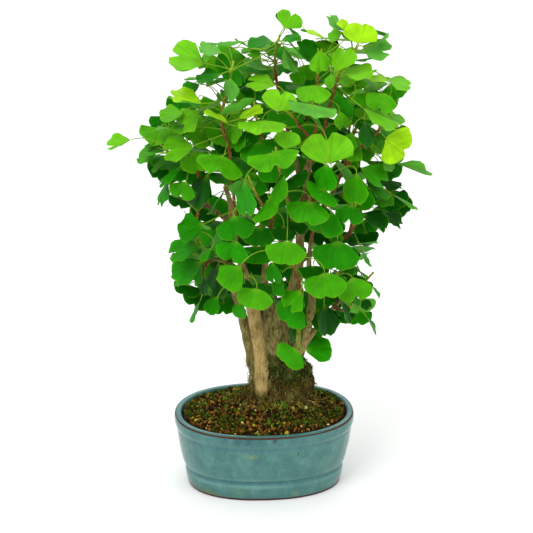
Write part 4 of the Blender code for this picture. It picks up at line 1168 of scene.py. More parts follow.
LIMBS = (
    Limb("left_strip", (
        (262, 388, 14, 10.0), (255, 362, 13, 9.0), (249, 341, 12, 7.6), (243, 319, 10, 6.0),
        (236, 296, 6, 4.6), (231, 278, 0, 3.6), (228, 262, -8, 2.8))),
    Limb("smooth_stem", (
        (262, 399, -7, 7.6), (262, 374, -4, 8.2), (259, 346, -1, 7.8), (255, 320, 0, 8.6),
        (250, 296, 2, 6.6), (244, 272, 4, 5.0), (236, 246, 5, 4.2), (231, 224, 6, 3.8),
        (231, 206, 6, 3.2), (225, 186, 5, 2.6))),
    Limb("leader", (
        (282, 336, 16, 12.5), (287, 306, 16, 9.0), (294, 286, 13, 6.6), (299, 262, 10, 5.6),
        (300, 238, 8, 5.0), (300, 217, 6, 5.3), (301, 196, 4, 5.4), (305, 178, 2, 5.0),
        (310, 160, 0, 4.0), (314, 142, -2, 3.0))),
    Limb("middle_left", (
        (274, 332, 14, 10.5), (271, 311, 12, 8.0), (266, 292, 6, 5.2), (265, 268, 0, 4.0),
        (268, 244, -5, 3.4), (272, 218, -9, 2.8), (278, 193, -11, 2.6), (275, 171, -11, 2.4),
        (268, 153, -11, 2.2))),
    Limb("thick_right", (
        (288, 372, 12, 9.5), (300, 349, 3, 6.4), (307, 330, -3, 5.4), (311, 312, -6, 5.2),
        (312, 293, -9, 4.4), (309, 268, -13, 3.2), (310, 246, -17, 2.6))),
    Limb("thin_right", (
        (292, 362, 4, 5.0), (298, 340, -10, 3.4), (299, 317, -16, 2.8), (302, 294, -24, 2.3))),
    Limb("low_right", (
        (299, 352, 6, 5.0), (310, 337, 6, 3.6), (319, 324, 6, 3.0), (334, 307, 6, 2.6),
        (348, 292, 4, 2.3))),
    Limb("side_right", (
        (299, 261, 10, 4.4), (317, 251, 8, 3.2), (334, 243, 2, 2.8), (349, 234, -2, 2.6),
        (357, 219, -4, 2.4), (364, 203, -6, 2.2))),
    Limb("upper_right", (
        (301, 205, 5, 4.4), (318, 193, 4, 3.2), (333, 182, 2, 2.8), (344, 171, 0, 2.5),
        (352, 156, 0, 2.2))),
    Limb("upper_left", (
        (231, 222, 6, 3.6), (219, 214, 9, 2.9), (208, 205, 10, 2.6), (201, 190, 10, 2.4),
        (198, 172, 8, 2.2))),
    Limb("red_left", (
        (235, 243, 5, 3.8), (236, 228, -5, 2.8), (235, 210, -10, 2.4), (233, 188, -14, 2.2),
        (231, 166, -18, 2.0))),
    Limb("low_left", ((245, 276, 4, 4.6), (230, 264, -6, 3.0), (215, 259, -14, 2.3))),
    Limb("back_left", (
        (299, 264, 12, 4.6), (286, 246, 38, 3.6), (269, 224, 60, 2.9), (255, 202, 76, 2.4))),
    Limb("back_right", (
        (300, 234, 8, 4.6), (316, 216, 36, 3.5), (331, 196, 60, 2.9), (341, 174, 78, 2.4))),
    Limb("back_low", (
        (284, 318, 20, 7.0), (294, 298, 44, 3.8), (299, 278, 66, 3.0), (296, 260, 86, 2.4))),
    Limb("back_top", (
        (303, 188, 4, 4.4), (297, 166, 24, 3.2), (291, 142, 42, 2.7), (285, 120, 52, 2.3))),
    Limb("front_middle", (
        (300, 228, 8, 4.6), (297, 230, -22, 3.2), (293, 222, -44, 2.7), (289, 206, -58, 2.3))),
)

SHOOTS = tuple(Shoot(*row) for row in (
    ("shoot_top", "leader", 9, (
        (316, 120, -4, 1.9), (317, 93, -6, 1.6), (318, 68, -8, 1.3), (321, 52, -8, 1.0)), 5),
    ("shoot_top_right", "leader", 8, (
        (322, 136, 10, 1.8), (331, 102, 10, 1.6), (338, 78, 6, 1.4), (347, 62, 2, 1.2),
        (355, 50, -2, 1.0)), 5),
    ("shoot_top_left", "back_top", 3, (
        (279, 94, 46, 1.9), (275, 68, 36, 1.6), (276, 47, 28, 1.3), (279, 37, 24, 1.0)), 6),
    ("shoot_top_front", "leader", 9, (
        (303, 130, -24, 1.8), (292, 116, -38, 1.6), (282, 108, -44, 1.3), (274, 106, -46, 1.0)), 3),
    ("shoot_upper_right", "upper_right", 4, (
        (364, 144, -2, 1.9), (378, 131, -4, 1.6), (386, 112, -4, 1.3), (386, 97, -2, 1.0)), 5),
    ("shoot_upper_right_back", "upper_right", 3, (
        (350, 144, 34, 1.9), (360, 118, 56, 1.6), (368, 97, 62, 1.2)), 7),
    ("shoot_right", "side_right", 5, ((370, 186, -8, 1.9), (379, 174, -10, 1.6), (389, 167, -10, 1.2)), 4),
    ("shoot_right_front", "side_right", 3, (
        (352, 226, -32, 1.9), (355, 208, -52, 1.6), (357, 192, -62, 1.2)), 4),
    ("shoot_right_low", "side_right", 2, (
        (344, 250, -28, 1.9), (352, 254, -42, 1.6), (361, 252, -48, 1.2)), 4),
    ("shoot_left", "upper_left", 4, ((190, 161, 6, 1.9), (179, 157, 2, 1.6), (168, 152, 0, 1.2)), 6),
    ("shoot_left_tall", "red_left", 4, (
        (229, 148, -21, 1.8), (223, 128, -23, 1.6), (223, 106, -22, 1.4), (229, 84, -20, 1.2),
        (233, 64, -18, 1.0)), 6),
    ("shoot_left_front", "upper_left", 2, (
        (200, 208, -22, 1.8), (196, 224, -36, 1.5), (196, 240, -42, 1.1)), 4),
    ("shoot_left_middle", "low_left", 2, (
        (207, 263, -20, 1.8), (202, 276, -28, 1.5), (203, 290, -34, 1.1)), 4),
    ("shoot_left_low", "smooth_stem", 5, (
        (238, 280, -30, 2.0), (231, 281, -52, 1.6), (232, 275, -66, 1.2)), 4),
    ("shoot_middle_top", "middle_left", 8, (
        (262, 138, -16, 1.8), (257, 121, -20, 1.5), (254, 103, -18, 1.1)), 5),
    ("shoot_middle_front", "middle_left", 5, (
        (263, 206, -38, 1.9), (255, 192, -56, 1.6), (249, 178, -66, 1.2)), 3),
    ("shoot_left_face", "red_left", 2, ((240, 208, -40, 1.8), (240, 204, -56, 1.5), (238, 196, -62, 1.1)), 3),
    ("shoot_centre", "front_middle", 3, (
        (284, 188, -68, 1.8), (279, 168, -74, 1.5), (276, 150, -76, 1.1)), 3),
    ("shoot_centre_right", "leader", 6, (
        (316, 200, -30, 1.9), (324, 187, -52, 1.6), (328, 172, -64, 1.2)), 3),
    ("shoot_centre_low", "thick_right", 6, (
        (313, 232, -34, 1.9), (320, 218, -48, 1.6), (325, 208, -54, 1.2)), 3),
    ("shoot_low_front", "thin_right", 3, (
        (298, 278, -48, 1.9), (292, 262, -66, 1.6), (288, 248, -76, 1.2)), 3),
    ("shoot_low_right", "low_right", 4, ((357, 284, -8, 1.9), (366, 280, -14, 1.6), (372, 274, -18, 1.2)), 6),
    ("shoot_low_right_front", "thick_right", 4, (
        (325, 292, -36, 1.9), (333, 284, -54, 1.6), (337, 274, -62, 1.2)), 3),
    ("shoot_low_middle", "thick_right", 3, (
        (305, 318, -34, 1.9), (301, 324, -52, 1.6), (299, 330, -62, 1.2)), 3),
    ("shoot_low_side", "low_right", 3, ((342, 310, -26, 1.9), (349, 308, -38, 1.5), (354, 302, -44, 1.2)), 4),
    ("shoot_back_left", "back_left", 3, ((245, 184, 88, 1.9), (238, 164, 94, 1.6), (236, 144, 94, 1.2)), 8),
    ("shoot_back_left_low", "back_left", 2, (
        (254, 228, 84, 1.9), (240, 228, 98, 1.6), (226, 222, 104, 1.2)), 8),
    ("shoot_back_right", "back_right", 3, ((346, 152, 90, 1.9), (349, 132, 94, 1.6), (350, 112, 92, 1.2)), 8),
    ("shoot_back_right_low", "back_right", 2, (
        (344, 202, 84, 1.9), (356, 202, 98, 1.6), (366, 196, 104, 1.2)), 8),
    ("shoot_back_low", "back_low", 3, ((292, 246, 102, 1.9), (288, 232, 112, 1.6), (286, 216, 116, 1.2)), 8),
    ("shoot_back_low_right", "back_low", 1, (
        (312, 290, 66, 1.9), (324, 282, 84, 1.6), (334, 272, 94, 1.2)), 8),
    ("shoot_back_low_left", "smooth_stem", 4, (
        (240, 286, 32, 2.0), (230, 274, 54, 1.6), (222, 262, 66, 1.2)), 8),
    ("shoot_back_top", "back_top", 2, ((304, 124, 62, 1.9), (312, 104, 70, 1.6), (316, 84, 72, 1.2)), 8),
))

LEAVES = tuple(Seen(*row) for row in (
    # Top left of the crown
    ((204, 64), (170, 54), 37, -22), ((222, 53), (199, 46), 17, -20, True),
    ((252, 49), (234, 40), 3, -14, True), ((236, 66), (221, 78), 40, -2), ((222, 74), (196, 80), 16, -30),
    ((240, 79), (206, 83), 5, -10), ((240, 60), (219, 63), 9, -6), ((200, 84), (183, 96), 18, 2),
    ((203, 104), (169, 96), 18, -28), ((229, 125), (206, 107), 8, -32), ((238, 120), (262, 107), 14, -30),
    ((208, 106), (194, 114), 9, 2, True), ((199, 110), (179, 128), 28, -12), ((184, 112), (160, 118), 20, 2),
    ((172, 128), (154, 134), 5, 2, True), ((131, 140), (107, 147), 17, 0), ((194, 146), (163, 152), 30, -22),
    ((160, 153), (143, 152), 5, -8), ((155, 156), (137, 162), 10, 0), ((182, 166), (157, 182), 12, -12),
    ((168, 180), (157, 205), 12, -6), ((186, 181), (180, 199), 23, -24), ((209, 173), (190, 205), 25, -14),
    ((224, 156), (218, 172), 50, -62), ((231, 104), (232, 79), 15, -38, True),
    ((240, 111), (236, 101), 38, -48, True), ((228, 104), (217, 92), 12, -14, True),
    # Top of the crown
    ((285, 29), (293, 11), 24, 20), ((273, 42), (248, 38), 17, 26), ((268, 52), (280, 44), 10, 34),
    ((262, 60), (248, 53), 12, 20), ((268, 70), (243, 64), 14, 4, True), ((276, 86), (248, 78), 22, -12),
    ((284, 47), (297, 74), 14, 6, True), ((281, 41), (299, 33), 12, 14), ((313, 64), (300, 40), 22, -4),
    ((328, 41), (302, 27), 8, 4), ((343, 32), (328, 37), 14, 10), ((345, 31), (326, 17), 14, 4, True),
    ((346, 30), (340, 19), 12, -4), ((359, 44), (362, 22), 36, -14), ((373, 45), (390, 34), 4, 2, True),
    ((362, 46), (388, 57), 28, -8, True), ((342, 74), (373, 70), 22, -20), ((389, 82), (370, 73), 12, 2),
    ((387, 80), (411, 84), 18, 4), ((338, 72), (343, 46), 28, -26), ((318, 50), (325, 72), 24, -16),
    ((331, 73), (332, 88), 12, -22), ((313, 104), (309, 122), 50, -52, True),
    ((277, 112), (282, 89), 34, -60), ((262, 120), (262, 134), 49, -60), ((352, 100), (338, 112), 24, -12),
    ((362, 108), (396, 128), 20, -16), ((340, 111), (343, 130), 18, -26), ((364, 120), (371, 148), 18, -14),
    # Middle of the crown
    ((272, 152), (276, 170), 53, -90), ((286, 150), (288, 131), 22, -74), ((328, 165), (327, 132), 50, -86),
    ((327, 163), (320, 190), 24, -94), ((325, 190), (318, 200), 38, -84), ((268, 198), (281, 206), 57, -94),
    ((245, 180), (242, 216), 22, -74), ((233, 215), (238, 240), 34, -64), ((310, 201), (306, 223), 45, -92),
    ((330, 209), (318, 234), 40, -74), ((296, 219), (296, 235), 20, -46), ((336, 228), (334, 243), 16, -54),
    ((284, 225), (283, 241), 22, -52), ((287, 240), (285, 265), 40, -100), ((236, 240), (230, 262), 30, -66),
    ((227, 228), (209, 248), 14, -44), ((385, 138), (407, 152), 40, -24), ((352, 132), (346, 150), 18, -32),
    ((360, 168), (386, 184), 26, -26), ((361, 162), (374, 192), 9, -36),
    ((383, 162), (392, 171), 12, -16, True), ((395, 163), (431, 177), 4, -10),
    ((357, 173), (352, 204), 25, -78), ((352, 204), (348, 224), 24, -66), ((391, 194), (419, 207), 6, -10),
    ((381, 213), (402, 226), 16, -6), ((361, 213), (385, 231), 20, -20), ((338, 240), (335, 270), 44, -66),
    # Bottom of the crown
    ((361, 248), (371, 267), 5, -50), ((350, 264), (348, 277), 9, -54), ((325, 272), (326, 298), 43, -82),
    ((352, 277), (357, 301), 32, -66), ((362, 299), (369, 309), 12, -26), ((371, 285), (380, 298), 4, -18),
    ((341, 299), (350, 323), 8, -36), ((366, 316), (377, 334), 4, -26), ((324, 303), (327, 335), 25, -56),
    ((305, 351), (331, 345), 27, -74), ((297, 349), (286, 361), 36, -80), ((257, 288), (252, 309), 40, -88),
    ((240, 302), (238, 318), 16, -64), ((241, 265), (225, 288), 32, -80), ((246, 278), (244, 290), 14, -56),
    ((273, 262), (272, 283), 18, -66), ((281, 276), (279, 296), 14, -72), ((301, 290), (287, 309), 26, -88),
    ((300, 305), (285, 323), 32, -76), ((289, 325), (295, 341), 5, -64), ((202, 261), (174, 281), 30, -48),
    ((202, 262), (195, 282), 11, -40), ((204, 276), (202, 295), 12, -40), ((201, 300), (187, 320), 5, -42),
    ((218, 296), (209, 314), 18, -52), ((219, 262), (218, 298), 22, -30), ((212, 248), (198, 257), 10, -44),
    ((205, 224), (178, 233), 28, -48), ((199, 243), (169, 256), 24, -46),
))

# The crown's edge in the front view, and places where the background shows through it
CROWN_EDGE = (
    (293, 12), (312, 16), (350, 16), (384, 18), (390, 32), (390, 58), (398, 70), (411, 80), (408, 92),
    (402, 108), (408, 128), (415, 140), (408, 156), (404, 170), (404, 184), (416, 206), (402, 225),
    (388, 232), (374, 250), (370, 268), (378, 290), (376, 322), (364, 328), (346, 324), (334, 348),
    (300, 360), (284, 358), (278, 336), (262, 312), (240, 316), (210, 314), (190, 316), (186, 300),
    (172, 288), (168, 262), (172, 240), (180, 214), (160, 205), (155, 184), (142, 165), (120, 152),
    (128, 138), (146, 117), (160, 104), (170, 92), (182, 82), (174, 66), (170, 50), (198, 42),
    (232, 40), (248, 36), (272, 30), (281, 16),
)
OPENINGS = (
    (205, 92), (246, 97), (259, 139), (268, 175), (218, 190), (225, 197), (273, 61), (284, 77),
    (309, 71), (309, 258), (351, 178), (347, 230), (333, 188), (295, 342), (322, 328),
)


# Leaves of the list above that stand out in tone, by their place in it: young yellow-green ones, lit ones
# with painted light, shaded ones with painted shade
FRESH_LEAVES = {8, 9, 10, 36, 39, 40, 44, 72}
LIT_LEAVES = {
    12, 15, 16, 21, 23, 32, 43, 46, 50, 51, 56, 58, 61, 64, 69, 75, 78, 80, 86, 87, 94, 95, 97, 101}
SHADED_LEAVES = {3, 4, 5, 7, 22, 28, 29, 34, 35, 52, 55, 66, 68, 81, 82, 88, 90, 92, 98, 103, 106, 109}

# Boxes of the view where wood shows between the leaves: left, top, right, bottom
SHOWN_WOOD = (
    (229, 168, 236, 216), (270, 212, 276, 250), (262, 250, 271, 264), (309, 180, 315, 206),
    (300, 262, 312, 300), (297, 236, 305, 262), (244, 300, 292, 380), (292, 300, 312, 345),
    (262, 140, 267, 152), (314, 122, 318, 136), (345, 160, 350, 180), (330, 240, 352, 250),
    (316, 318, 330, 330))

# Which limbs have tight pale skin, and from which share of the limb its skin is young and red-brown
PALE_LIMBS = {"smooth_stem": 1.0, "thick_right": 0.3, "leader": 0.18, "middle_left": 0.3, "thin_right": 0.3}
YOUNG_FROM = {"middle_left": 0.45, "red_left": 0.1, "leader": 0.8, "side_right": 0.3, "upper_right": 0.35,
              "upper_left": 0.7, "low_right": 0.85, "back_left": 0.7, "back_right": 0.7, "back_top": 0.6}


# Stems
def smooth_path(knots: tuple, steps: int) -> Array:
    """Curve through knots: a Catmull-Rom spline of place and radius together.

    Args:
        knots: Rows of (view x, view y, depth, radius).
        steps: Points for each stretch between knots.

    Returns:
        Rows of x, y, z, radius in millimetres.
    """
    return spline(np.array([(*VIEW.place(*knot[:3]), knot[3]) for knot in knots]), steps)


def spline(rows: Array, steps: int) -> Array:
    """Catmull-Rom spline through rows of numbers, ending on the last row.

    Args:
        rows: The rows to pass through.
        steps: Points for each stretch.

    Returns:
        The points of the curve.
    """
    padded = np.concatenate([[2 * rows[0] - rows[1]], rows, [2 * rows[-1] - rows[-2]]])
    found = []
    for i in range(1, len(padded) - 2):
        a, b, c, d = padded[i - 1:i + 3]
        for t in np.arange(steps) / steps:
            curve = 2 * b + (c - a) * t + (2 * a - 5 * b + 4 * c - d) * t**2 + (3 * b - a - 3 * c + d) * t**3
            found.append(curve / 2)
    found.append(rows[-1])
    return np.array(found)


def carried_frames(points: Array, start_side: Array) -> list[tuple[Array, Array, Array]]:
    """Tangent, side and face at each point of a path, with the side carried along without twist.

    Args:
        points: Places along the path.
        start_side: The side to start from.

    Returns:
        Three directions for each point.
    """
    frames = []
    side = start_side
    for tangent in unit_rows(np.gradient(points, axis=0)):
        side = unit(side - tangent * (side @ tangent))
        frames.append((tangent, side, np.cross(side, tangent)))
    return frames


def tube(path: Array, sides: int) -> Mesh:
    """Closed round stem: a circle of the path's radius carried along it.

    Args:
        path: Rows of x, y, z, radius.
        sides: Points round the stem.

    Returns:
        Places and faces.
    """
    points = path[:, :3]
    turn = np.arange(sides) * 2 * math.pi / sides
    start = np.array([0.0, 0.0, 1.0]) if abs(unit(points[1] - points[0])[2]) < 0.8 else VIEW.right
    rings = []
    for (_, side, face), row in zip(carried_frames(points, start), path):
        rings.append(row[:3] + row[3] * (np.outer(np.cos(turn), side) - np.outer(np.sin(turn), face)))
    return loft(rings)


def point_on(path: Array, i: int, t: float) -> Array:
    """Place on a path, at share t of its stretch i."""
    return path[i, :3] * (1 - t) + path[i + 1, :3] * t


def along_path(path: Array) -> Array:
    """Distance of each row of a path from its start."""
    return np.concatenate([[0.0], np.cumsum(np.linalg.norm(np.diff(path[:, :3], axis=0), axis=1))])


def cut_path(path: Array, start: float) -> Array:
    """The part of a path past a distance along it, starting with a row exactly there."""
    along = along_path(path)
    first = np.array([np.interp(start, along, path[:, k]) for k in range(4)])
    return np.concatenate([[first], path[along > start + 1.5]])


def head_path(path: Array, end: float) -> Array:
    """The part of a path before a distance along it, ending with a row exactly there."""
    along = along_path(path)
    last = np.array([np.interp(end, along, path[:, k]) for k in range(4)])
    return np.concatenate([path[along < end - 1.5], [last]])


def grown(path: Array, clearance: float = 0.45) -> Array:
    """The path with its radius made larger by the clearance."""
    wider = path.copy()
    wider[:, 3] += clearance
    return wider


def twig_of(shoot: Shoot) -> Twig:
    """Split a shoot's stem into the stub that is wood of its limb and the leafy twig past it.

    Args:
        shoot: The shoot as listed.

    Returns:
        The two paths and the shoot's name.
    """
    limb = next(limb for limb in LIMBS if limb.name == shoot.limb)
    foot = limb.knots[shoot.knot]
    at_end = shoot.knot == len(limb.knots) - 1
    start_radius = min(foot[3], shoot.knots[0][3] + 0.5)
    path = smooth_path(((*foot[:3], start_radius), *shoot.knots), 1)
    stub_length = foot[3] + 5.0
    stub = head_path(path, stub_length)
    if at_end:
        stub[0, 3] = foot[3] * 0.9
    return Twig(shoot.name, stub, cut_path(path, stub_length + GAP), shoot.fills)


# Leaves
EDGE_SHARES = np.array([-1.0, -0.66, -0.22, 0.0, 0.22, 0.66, 1.0])


@dataclass(frozen=True)
class LeafRule:
    """Sizes that all leaves share, in millimetres."""

    half_thick: float = 0.55
    stalk_radius: float = 0.85
    clearance: float = 0.45
    stalk_reach: float = 78.0


RULE = LeafRule()


def leaf_form(random: np.random.Generator) -> tuple:
    """How a leaf's blade is notched and bent, as shares of its length."""
    notch = random.choice([0.03, 0.07, 0.13, 0.26])
    cup = random.uniform(-0.08, 0.2)
    fold = random.uniform(-0.05, 0.16)
    curl = random.uniform(-0.22, 0.04)
    ripple = random.uniform(0.02, 0.06)
    return float(notch), cup, fold, curl, ripple, random.uniform(0, 2 * math.pi)


def blade_height(share: Array, reach: Array, form: tuple) -> Array:
    """Rise of the blade from flat: a cup, a fold, a curl and a ripple that grow towards the edge.

    Args:
        share: Share of the half angle, from -1 to 1.
        reach: Share of the radius.
        form: The leaf's form.

    Returns:
        Rise as a share of the length.
    """
    _, cup, fold, curl, ripple, phase = form
    bowl = cup * share**2 * reach**2 + fold * np.abs(share) * reach + curl * reach**2
    return bowl + ripple * reach**3 * np.sin(3.2 * math.pi * share + phase)


def edge_reach(share: Array, form: tuple) -> Array:
    """Radius of the outer edge as a share of the length: two lobes, round corners and a notch."""
    lobes = 1.0 + 0.05 * np.abs(np.sin(math.pi * share)) - 0.17 * np.abs(share) ** 5
    return lobes - form[0] * bell(share, 0.0, 0.09)


def blade_points(leaf: Leaf, shares: Array, reaches: Array) -> Array:
    """Points of the blade's middle surface at shares of the angle and of the radius."""
    angle = shares * leaf.spread
    radius = reaches * leaf.length
    rise = leaf.length * blade_height(shares, reaches, leaf.form)
    flat = np.outer(radius * np.sin(angle), leaf.side) + np.outer(radius * np.cos(angle), leaf.axis)
    return leaf.base + flat + np.outer(rise, leaf.face)


def rim_points(leaf: Leaf, grow: float = 0.0) -> Array:
    """Points of the plain blade's outer edge, moved out by grow."""
    return blade_points(leaf, EDGE_SHARES, edge_reach(EDGE_SHARES, leaf.form) + grow / leaf.length)


def stalk_line(leaf: Leaf) -> Array:
    """Points of the stalk, from inside the twig to the blade: a bent stalk has one in between."""
    if leaf.bend is None:
        return np.array([leaf.root, leaf.base])
    return np.array([leaf.root, 0.25 * leaf.root + 0.5 * leaf.bend + 0.25 * leaf.base, leaf.base])


def stalk_rings(leaf: Leaf, radius: float) -> Array:
    """Three-sided rings along the stalk, the last in the blade's own frame."""
    line = stalk_line(leaf)
    frames = carried_frames(line[::-1], leaf.side)[::-1]
    rings = []
    for point, (_, side, back) in zip(line[:-1], frames[:-1]):
        low = point + back * radius * 0.5
        rings.append([low - radius * side, low + radius * side, point - back * radius])
    rings.append(leaf.base + radius * np.array([-leaf.side, leaf.side, leaf.face]))
    return np.array(rings).reshape(-1, 3)


def block_leaf(leaf: Leaf, grow: float = 0.0) -> Array:
    """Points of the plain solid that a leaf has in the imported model, for keeping leaves apart.

    Args:
        leaf: The leaf.
        grow: How much larger than the solid.

    Returns:
        The stalk's points, the edge's points, and the points above and below the heart.
    """
    edge = rim_points(leaf, grow)
    heart = blade_points(leaf, np.array([0.0]), np.array([0.52]))[0]
    lift = (RULE.half_thick + grow) * leaf.face
    stalk = stalk_rings(leaf, RULE.stalk_radius + grow)
    return np.array([*stalk, *edge, heart + lift, heart - lift])


def stalk_faces(count: int) -> list:
    """Faces of a three-sided stalk of that many points, open where the blade joins it."""
    faces = [(1, 2, 0)]
    for low in range(0, count - 3, 3):
        for i in range(3):
            j = (i + 1) % 3
            faces.append((low + 3 + j, low + j, low + i))
            faces.append((low + 3 + i, low + 3 + j, low + i))
    return faces


def blade_faces(stalk_count: int, edge_count: int) -> list:
    """Faces of the plain blade's upper and lower fans, around the stalk's last three points."""
    left, right, ridge = range(stalk_count - 3, stalk_count)
    top = stalk_count + edge_count
    rim = [left, *range(stalk_count, top), right]
    faces = []
    for a, b in zip(rim[:-1], rim[1:]):
        faces.append((b, a, top))
        faces.append((a, b, top + 1))
    return faces + [(ridge, right, top), (left, ridge, top), (right, left, top + 1)]


class Solid:
    """A placed shape that others must keep clear of."""

    def __init__(self, points: Array, faces: list) -> None:
        """Keep the shape's search tree and the sphere about it."""
        self.tree = BVHTree.FromPolygons(points.tolist(), [list(map(int, face)) for face in faces])
        low, high = points.min(0), points.max(0)
        self.middle = (low + high) / 2
        self.radius = float(np.linalg.norm(high - low) / 2)


def in_edge(x: Array, y: Array, polygon: tuple) -> Array:
    """Which points lie inside a polygon in the view: a ray to the right crosses it an odd number of times."""
    inside = np.zeros(len(x), bool)
    for (ax, ay), (bx, by) in zip(polygon, polygon[1:] + polygon[:1]):
        crosses = (ay > y) != (by > y)
        at = ax + (y - ay) * (bx - ax) / (by - ay if by != ay else 1e-9)
        inside ^= crosses & (x < at)
    return inside


def blade_solid(leaf: Leaf, grow: float) -> Solid:
    """The plain blade as a shape to keep clear of."""
    points = block_leaf(leaf, grow)
    start = len(points) - len(EDGE_SHARES) - 5
    return Solid(points[start:], blade_faces(3, len(EDGE_SHARES)))


def free_stalk(leaf: Leaf) -> Solid:
    """The stalk without its root in the twig and without its last stretch at the blade."""
    line = stalk_line(leaf)
    start = line[0] + unit(line[1] - line[0]) * (4.0 + RULE.stalk_radius)
    end = line[-1] - unit(line[-1] - line[-2]) * 2.0
    middle = start * 0.5 + end * 0.5 if leaf.bend is None else line[1]
    path = np.array([[*row, RULE.stalk_radius + RULE.clearance] for row in (start, middle, end)])
    return Solid(*tube(path, 3))


def seen_frame(seen: Seen) -> tuple:
    """Blade frame, length and spread of a leaf read from the front view.

    Its plane faces the eye, then is pitched when it shows wide and short, and rolled when it shows
    narrow, by the angle whose cosine is the share that shows.

    Args:
        seen: The leaf as read.

    Returns:
        Base, side, axis, face, length and spread.
    """
    base = VIEW.place(*seen.base, seen.depth)
    edge = VIEW.place(*seen.edge, seen.depth)
    to_eye = VIEW.to_eye
    flat = edge - base
    flat = flat - to_eye * (flat @ to_eye)
    shown_length = np.linalg.norm(flat)
    span = seen.span * VIEW.distance / VIEW.scale
    ratio = span / shown_length
    pitch, roll = 0.0, 0.0
    if ratio > 1.9:
        spread = math.radians(78)
        pitch = math.acos(min(1.0, 1.85 / ratio))
    elif ratio < 1.2:
        spread = math.radians(60)
        roll = math.acos(max(0.05, ratio / 1.6))
    else:
        spread = math.radians(60 + 18 * (ratio - 1.2) / 0.7)
    if flat[2] > 0.3 * shown_length and not seen.shows_back:
        pitch = -pitch
    axis = unit(flat) * math.cos(pitch) + to_eye * math.sin(pitch)
    length = shown_length / math.cos(pitch)
    flat_side = unit(np.cross(unit(flat), to_eye))
    face = unit(np.cross(flat_side, axis))
    if seen.shows_back:
        flat_side, face = -flat_side, -face
    turn = roll if (flat_side[2] < 0) == (face[2] > 0) else -roll
    side = flat_side * math.cos(turn) + face * math.sin(turn)
    return base, side, axis, np.cross(side, axis), length, spread


def stalk_choices(base: Array, axis: Array, twigs: list[Twig]) -> list:
    """Places on the twigs to root a stalk, nearest and best placed first.

    Args:
        base: The blade's base.
        axis: The blade's axis.
        twigs: All twigs.

    Returns:
        Rows of cost, twig number, segment and share of the segment.
    """
    found = []
    for number, twig in enumerate(twigs):
        path = twig.twig
        for i in range(len(path) - 1):
            for t in (0.3, 0.7):
                at = point_on(path, i, t)
                if np.linalg.norm(at - path[0, :3]) < 6.0:
                    continue
                line = base - at
                far = np.linalg.norm(line)
                if far > RULE.stalk_reach or far < 9.0:
                    continue
                cost = far + 38.0 * max(0.0, 0.45 - float(line @ axis) / far)
                found.append((cost, number, i, t))
    return sorted(found)


def rooted(frame_of: tuple, form: tuple, twig: Twig, i: int, t: float, lift: float | None) -> Leaf:
    """A leaf whose stalk starts in the twig's segment i, at share t, and bends by a lift or not at all."""
    base, side, axis, face, length, spread = frame_of
    root = point_on(twig.twig, i, t)
    far = np.linalg.norm(base - root)
    bend = None if lift is None else base - axis * far * 0.42 + np.array([0.0, 0.0, lift * far])
    return Leaf(base, side, axis, face, length, spread, form, root, bend)


